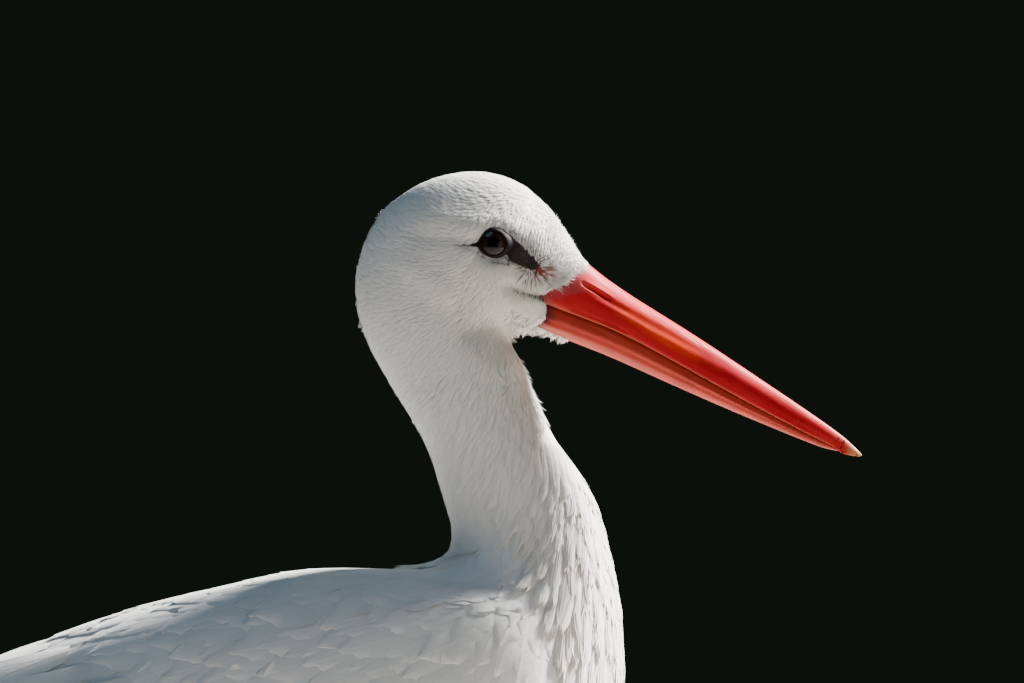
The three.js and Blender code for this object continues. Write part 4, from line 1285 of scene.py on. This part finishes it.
flight_black, flight_shader = material("flight_black", roughness=0.45, specular_ior_level=0.28)
own_tone = ramp(flight_black, share_of(flight_black, "tone"),
                [(0.0, (0.0095, 0.0090, 0.0100)), (1.0, (0.020, 0.018, 0.019))])
clouds = ramp(flight_black, noise(flight_black, object_place(flight_black), 60, 3),
              [(0.3, (0.007, 0.008, 0.010)), (0.7, (0.026, 0.022, 0.022))])
paint(flight_black, flight_shader, blend(flight_black, 0.5, own_tone, clouds))
barbed(flight_black, flight_shader, 0.22, 130, 0.00004)


def flight_end(at):
    return min(1.0, 0.45 + 1.2 * at) * math.sqrt(max(0.03, 1 - max(0, (at - 0.80) / 0.205) ** 2))


# Rows of feathers: how many, the lines along which their roots and tips lie in the side view, from the
# first feather to the last (as in wing_flat), their half widths, how deep the first lies, how much
# deeper each next one, and how much deeper than its tip a feather's root lies.
FLIGHT_ROWS = {
    "greater_coverts": [
        (15, (20, 584), (-236, 638), (-60, 552), (-320, 610), 12, 11, -0.0008, 0.0, 0.003),
        (12, (26, 600), (-206, 648), (-42, 568), (-286, 616), 12, 12, -0.0020, 0.0, 0.003),
        (10, (28, 618), (-180, 660), (-26, 586), (-256, 630), 12, 13, -0.0032, 0.0, 0.0085),
    ],
    "secondaries": [
        (10, (-14, 567), (-262, 622), (-92, 553), (-372, 583), 14, 14, 0.0016, 0.0, 0.007),
        (5, (8, 566), (-130, 588), (-72, 541), (-250, 515), 16, 17, 0.0036, 0.0, 0.007),
        (5, (-40, 565), (-190, 588), (-160, 528), (-345, 508), 15, 15, 0.0060, 0.0, 0.007),
        (7, (-8, 566), (-170, 590), (-90, 536), (-330, 512), 15, 15, 0.0110, 0.0010, 0.007),
    ],
    "primaries": [
        (4, (-250, 628), (-262, 600), (-416, 573), (-432, 545), 12, 12, 0.0020, 0.0006, 0.007),
        (6, (-270, 600), (-262, 560), (-424, 554), (-490, 499), 11, 12, 0.0042, 0.0004, 0.007),
        (5, (-240, 590), (-240, 545), (-412, 546), (-470, 500), 11, 11, 0.0080, 0.0008, 0.007),
    ],
}
plan, faces = vane_plan(15, 7, flight_end, 0.10, 0.0)
for side, sign in SIDES.items():
    point_at = shell([f"wing_{side}", f"secondaries_{side}", f"primaries_{side}"], 1, sign)
    for name, rows in FLIGHT_ROWS.items():
        feathers, roots = [], []
        for count, root_from, root_to, tip_from, tip_to, wide_from, wide_to, inset, deeper, depth in rows:
            for share in np.linspace(0, 1, count):
                root = np.array(wing_flat(*root_from)) * (1 - share) + np.array(wing_flat(*root_to)) * share
                tip = np.array(wing_flat(*tip_from)) * (1 - share) + np.array(wing_flat(*tip_to)) * share
                half = (wide_from * (1 - share) + wide_to * share) / 1000
                sunk = inset + deeper * share * count + 0.0004 * (1 - share) + rng.uniform(0, 0.0002)
                middle = point_at(root, sign * 0.05)[1]
                feathers.append(laid_feather(point_at, 1, sign, root, tip, half, sunk, plan, middle, 0.002,
                                             depth))
                roots.append((root[0], middle, root[1]))
        coat = (flight_black, "black_plumage", [f"{name}_{side}"])
        if name == "greater_coverts":
            coat = (back_white,)
        joined_feathers(f"{side}_{name}", np.array(feathers), plan, faces, np.array(roots), *coat)

tail_lo, tail_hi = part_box("tail")
point_at = shell(["tail"], 2, 1)
feathers, roots = [], []
TAIL_FEATHERS = 11
for k in sorted(range(TAIL_FEATHERS), key=lambda k: -abs(k - TAIL_FEATHERS // 2)):
    fan = (k - TAIL_FEATHERS // 2) / (TAIL_FEATHERS // 2)
    root = (tail_hi.x + 0.045, fan * 0.010)
    tip = (tail_lo.x + 0.002 + 0.010 * fan**2, fan * 0.006)
    sunk = 0.0003 + 0.0018 * abs(fan)
    feathers.append(laid_feather(point_at, 2, 1, root, tip, 0.0065, sunk, plan, tail_hi.z, 0.0))
    roots.append((root[0], root[1], tail_hi.z))
tail_white, tail_shader = plumage("tail_plumage", (0.84, 0.83, 0.81), (0.76, 0.74, 0.70), 0.05)
barbed(tail_white, tail_shader, 0.22, 130, 0.00004)
joined_feathers("tail_feathers", np.array(feathers), plan, faces, np.array(roots), tail_white,
                replaced=["tail"])

# The longest feathers of the back lie over the ridge where the two wings meet.
point_at = shell(["wing_left", "wing_right", "trunk", "secondaries_left", "secondaries_right"], 2, 1)
feathers, roots = [], []
for tip_x, spread, inset in ((-318, 0.018, 0.0), (-300, 0.026, -0.0012), (-278, 0.032, -0.0024)):
    for fan in (-1, 1, -0.5, 0.5, 0):
        root = (wing_flat(tip_x + 85, 0)[0], fan * (spread + 0.006))
        tip = (wing_flat(tip_x, 0)[0], fan * spread)
        sunk = inset + 0.0006 * abs(fan)
        feathers.append(laid_feather(point_at, 2, 1, root, tip, 0.012, sunk, plan, 0.64, 0.0))
        roots.append((root[0], root[1], 0.64))
joined_feathers("ridge_feathers", np.array(feathers), plan, faces, np.array(roots), back_white)

# ---- Claws ----
# Short blunt horny sheaths over the last bone of each toe, dark brown in soft paler and darker spots.
claw_horn, _, _ = mottled("claw_horn", 350, 4, [(0.35, (0.014, 0.009, 0.007)), (0.7, (0.055, 0.034, 0.026))],
                          900, 0.0002, roughness=0.42)
CLAW_RINGS, CLAW_POINTS = 14, 16
claw_ends = []
for side in SIDES:
    palm_lo, palm_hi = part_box(f"palm_{side}")
    for toe in TOES:
        claw_lo, claw_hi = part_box(f"claw_{toe}_{side}")
        middle = (claw_lo + claw_hi) / 2
        way = middle - (palm_lo + palm_hi) / 2
        way = Vector((way.x, way.y, 0)).normalized()
        half_long = ((claw_hi - claw_lo).xy.dot(Vector((abs(way.x), abs(way.y))))) / 2
        claw_ends.append(np.array((middle.x, middle.y, 0.004)) - np.array(way) * (half_long + 0.0015))
        bm, rings = bmesh.new(), []
        for ring in range(CLAW_RINGS):
            at = ring / (CLAW_RINGS - 1)
            half = 0.0029 * math.sqrt(max(0.0, 1 - at**2.6)) * (1 - 0.45 * at)
            along = -half_long - 0.0075 + at * (2 * half_long + 0.0070)
            centre = Vector((middle.x, middle.y, 0)) + way * along
            height = 0.0036 - 0.0014 * at**1.5
            rings.append([])
            for k in range(CLAW_POINTS):
                turn = 2 * math.pi * k / CLAW_POINTS
                aside = Vector((-way.y, way.x, 0)) * (math.sin(turn) * half)
                up = max(0.0002, height + math.cos(turn) * half * 1.05)
                rings[-1].append(bm.verts.new((centre.x + aside.x, centre.y + aside.y, up)))
        for ring, ahead in zip(rings, rings[1:]):
            for k in range(CLAW_POINTS):
                bm.faces.new((ring[k], ring[k - 1], ahead[k - 1], ahead[k]))
        bmesh.ops.remove_doubles(bm, verts=bm.verts, dist=0.00001)
        bmesh.ops.recalc_face_normals(bm, faces=bm.faces)
        claw = mesh_of(f"{side}_{toe}_claw", bm)
        claw.materials.append(claw_horn)
        show(f"{side}_{toe}_claw", claw, [f"claw_{toe}_{side}"])

# ---- Scales of the legs and feet ----
# The bare legs are covered all round with small flat six-sided horny scales, finer on the toes, whose
# tops carry a row of broad plates. Their edges are rubbed pale.
scale_red, scale_shader, scale_colour = mottled(
    "scale_red", 120, 4, [(0.32, (0.20, 0.009, 0.007)), (0.6, (0.38, 0.026, 0.018))], 2500, 0.00006,
    roughness=0.5, specular_ior_level=0.35)
on_scale = node(scale_red, "UVMap", uv_map="vane").outputs["UV"]
off_centre = node(scale_red, "VectorMath", {0: on_scale, 1: (0.5, 0.5, 0)}, operation="DISTANCE")
worn_edge = ramp(scale_red, off_centre.outputs["Value"], [(0.28, 0.0), (0.50, 0.45)])
scale_colour = blend(scale_red, worn_edge, scale_colour, (0.47, 0.16, 0.12, 1))
scale_tone = ramp(scale_red, share_of(scale_red, "tone"), [(0.0, 0.75), (1.0, 1.0)])
scale_colour = blend(scale_red, 1.0, scale_colour, scale_tone, "MULTIPLY")
paint(scale_red, scale_shader, scale_colour)


def scale_plan():
    """A six-sided plate with a raised middle and sloping sides."""
    points = [(0.5, 0, 0.30, 0)]
    for share, up in ((0.62, 0.28), (1.0, -0.10)):
        for corner in range(6):
            turn = corner * math.pi / 3
            points.append((0.5 + 0.5 * share * math.cos(turn), share * math.sin(turn), up, 0))
    faces = []
    for k in range(6):
        a, b = 1 + k, 1 + (k + 1) % 6
        faces += [(0, a, b), (a, a + 6, b + 6), (a, b + 6, b)]
    return np.array(points), np.array(faces)


toe_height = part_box("toe_middle_left")[1].z + 0.001
leg_foot = toe_height + 0.012
bare_leg = (z < TROUSER_EDGE + 0.004) & ((z > 0.0022) | (skin_no[:, 2] > 0.1)) & (skin_no[:, 2] > -0.7)
for claw_end in claw_ends:
    bare_leg &= np.linalg.norm(skin_co - claw_end, axis=1) > 0.0052
scale_size = np.where(z > leg_foot, 0.0027, 0.0018)
plan, faces = scale_plan()
for side, sign in SIDES.items():
    for name, part in ((f"{side}_leg_scales", z > leg_foot), (f"{side}_foot_scales", z <= leg_foot)):
        roots, vertex = scatter((bare_leg & part & (y * sign > 0)).astype(float), 0.86 * scale_size)
        size = scale_size[vertex] * rng.uniform(0.92, 1.08, len(vertex))
        dress(name, roots, size, 0.52 * size, np.full(len(size), 0.0001), plan, faces, scale_red, "red_skin",
              rows=2, yaw=0.15, loose=0.0, sink=-0.00005, legs=True)

skin_surface = tree_of(skin_mesh)
plan, faces = vane_plan(3, 7, lambda at: 1.0 if at < 0.9 else 0.8, 0.42, 0.0)
roots, ways, wide = [], [], []
for side in SIDES:
    palm_lo, palm_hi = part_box(f"palm_{side}")
    for toe in TOES:
        claw_lo, claw_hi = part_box(f"claw_{toe}_{side}")
        start, end = (palm_lo + palm_hi) / 2, (claw_lo + claw_hi) / 2
        way = (end - start).normalized()
        for along in np.arange(0.010, (end - start).length - 0.0125, 0.0031):
            spot = start + way * along
            hit = skin_surface.ray_cast(Vector((spot.x, spot.y, 0.04)), Vector((0, 0, -1)))[0]
            side_hit = skin_surface.ray_cast(Vector((spot.x, spot.y, 0.004)), Vector((-way.y, way.x, 0)))[3]
            if hit and side_hit and hit.z < toe_height + 0.006:
                roots.append(hit[:])
                ways.append(way[:])
                wide.append(min(0.0042, max(0.0018, side_hit * 0.80)))
roots = np.array(roots)
turn = swing_to(nearest_vertex(roots), np.array(ways))
dress("toe_plates", roots, np.full(len(roots), 0.0039), np.array(wide), np.full(len(roots), 0.0004), plan,
      faces, scale_red, "red_skin", rows=2, yaw=0.03, loose=0.0, sink=-0.0002, toward=turn, legs=True)
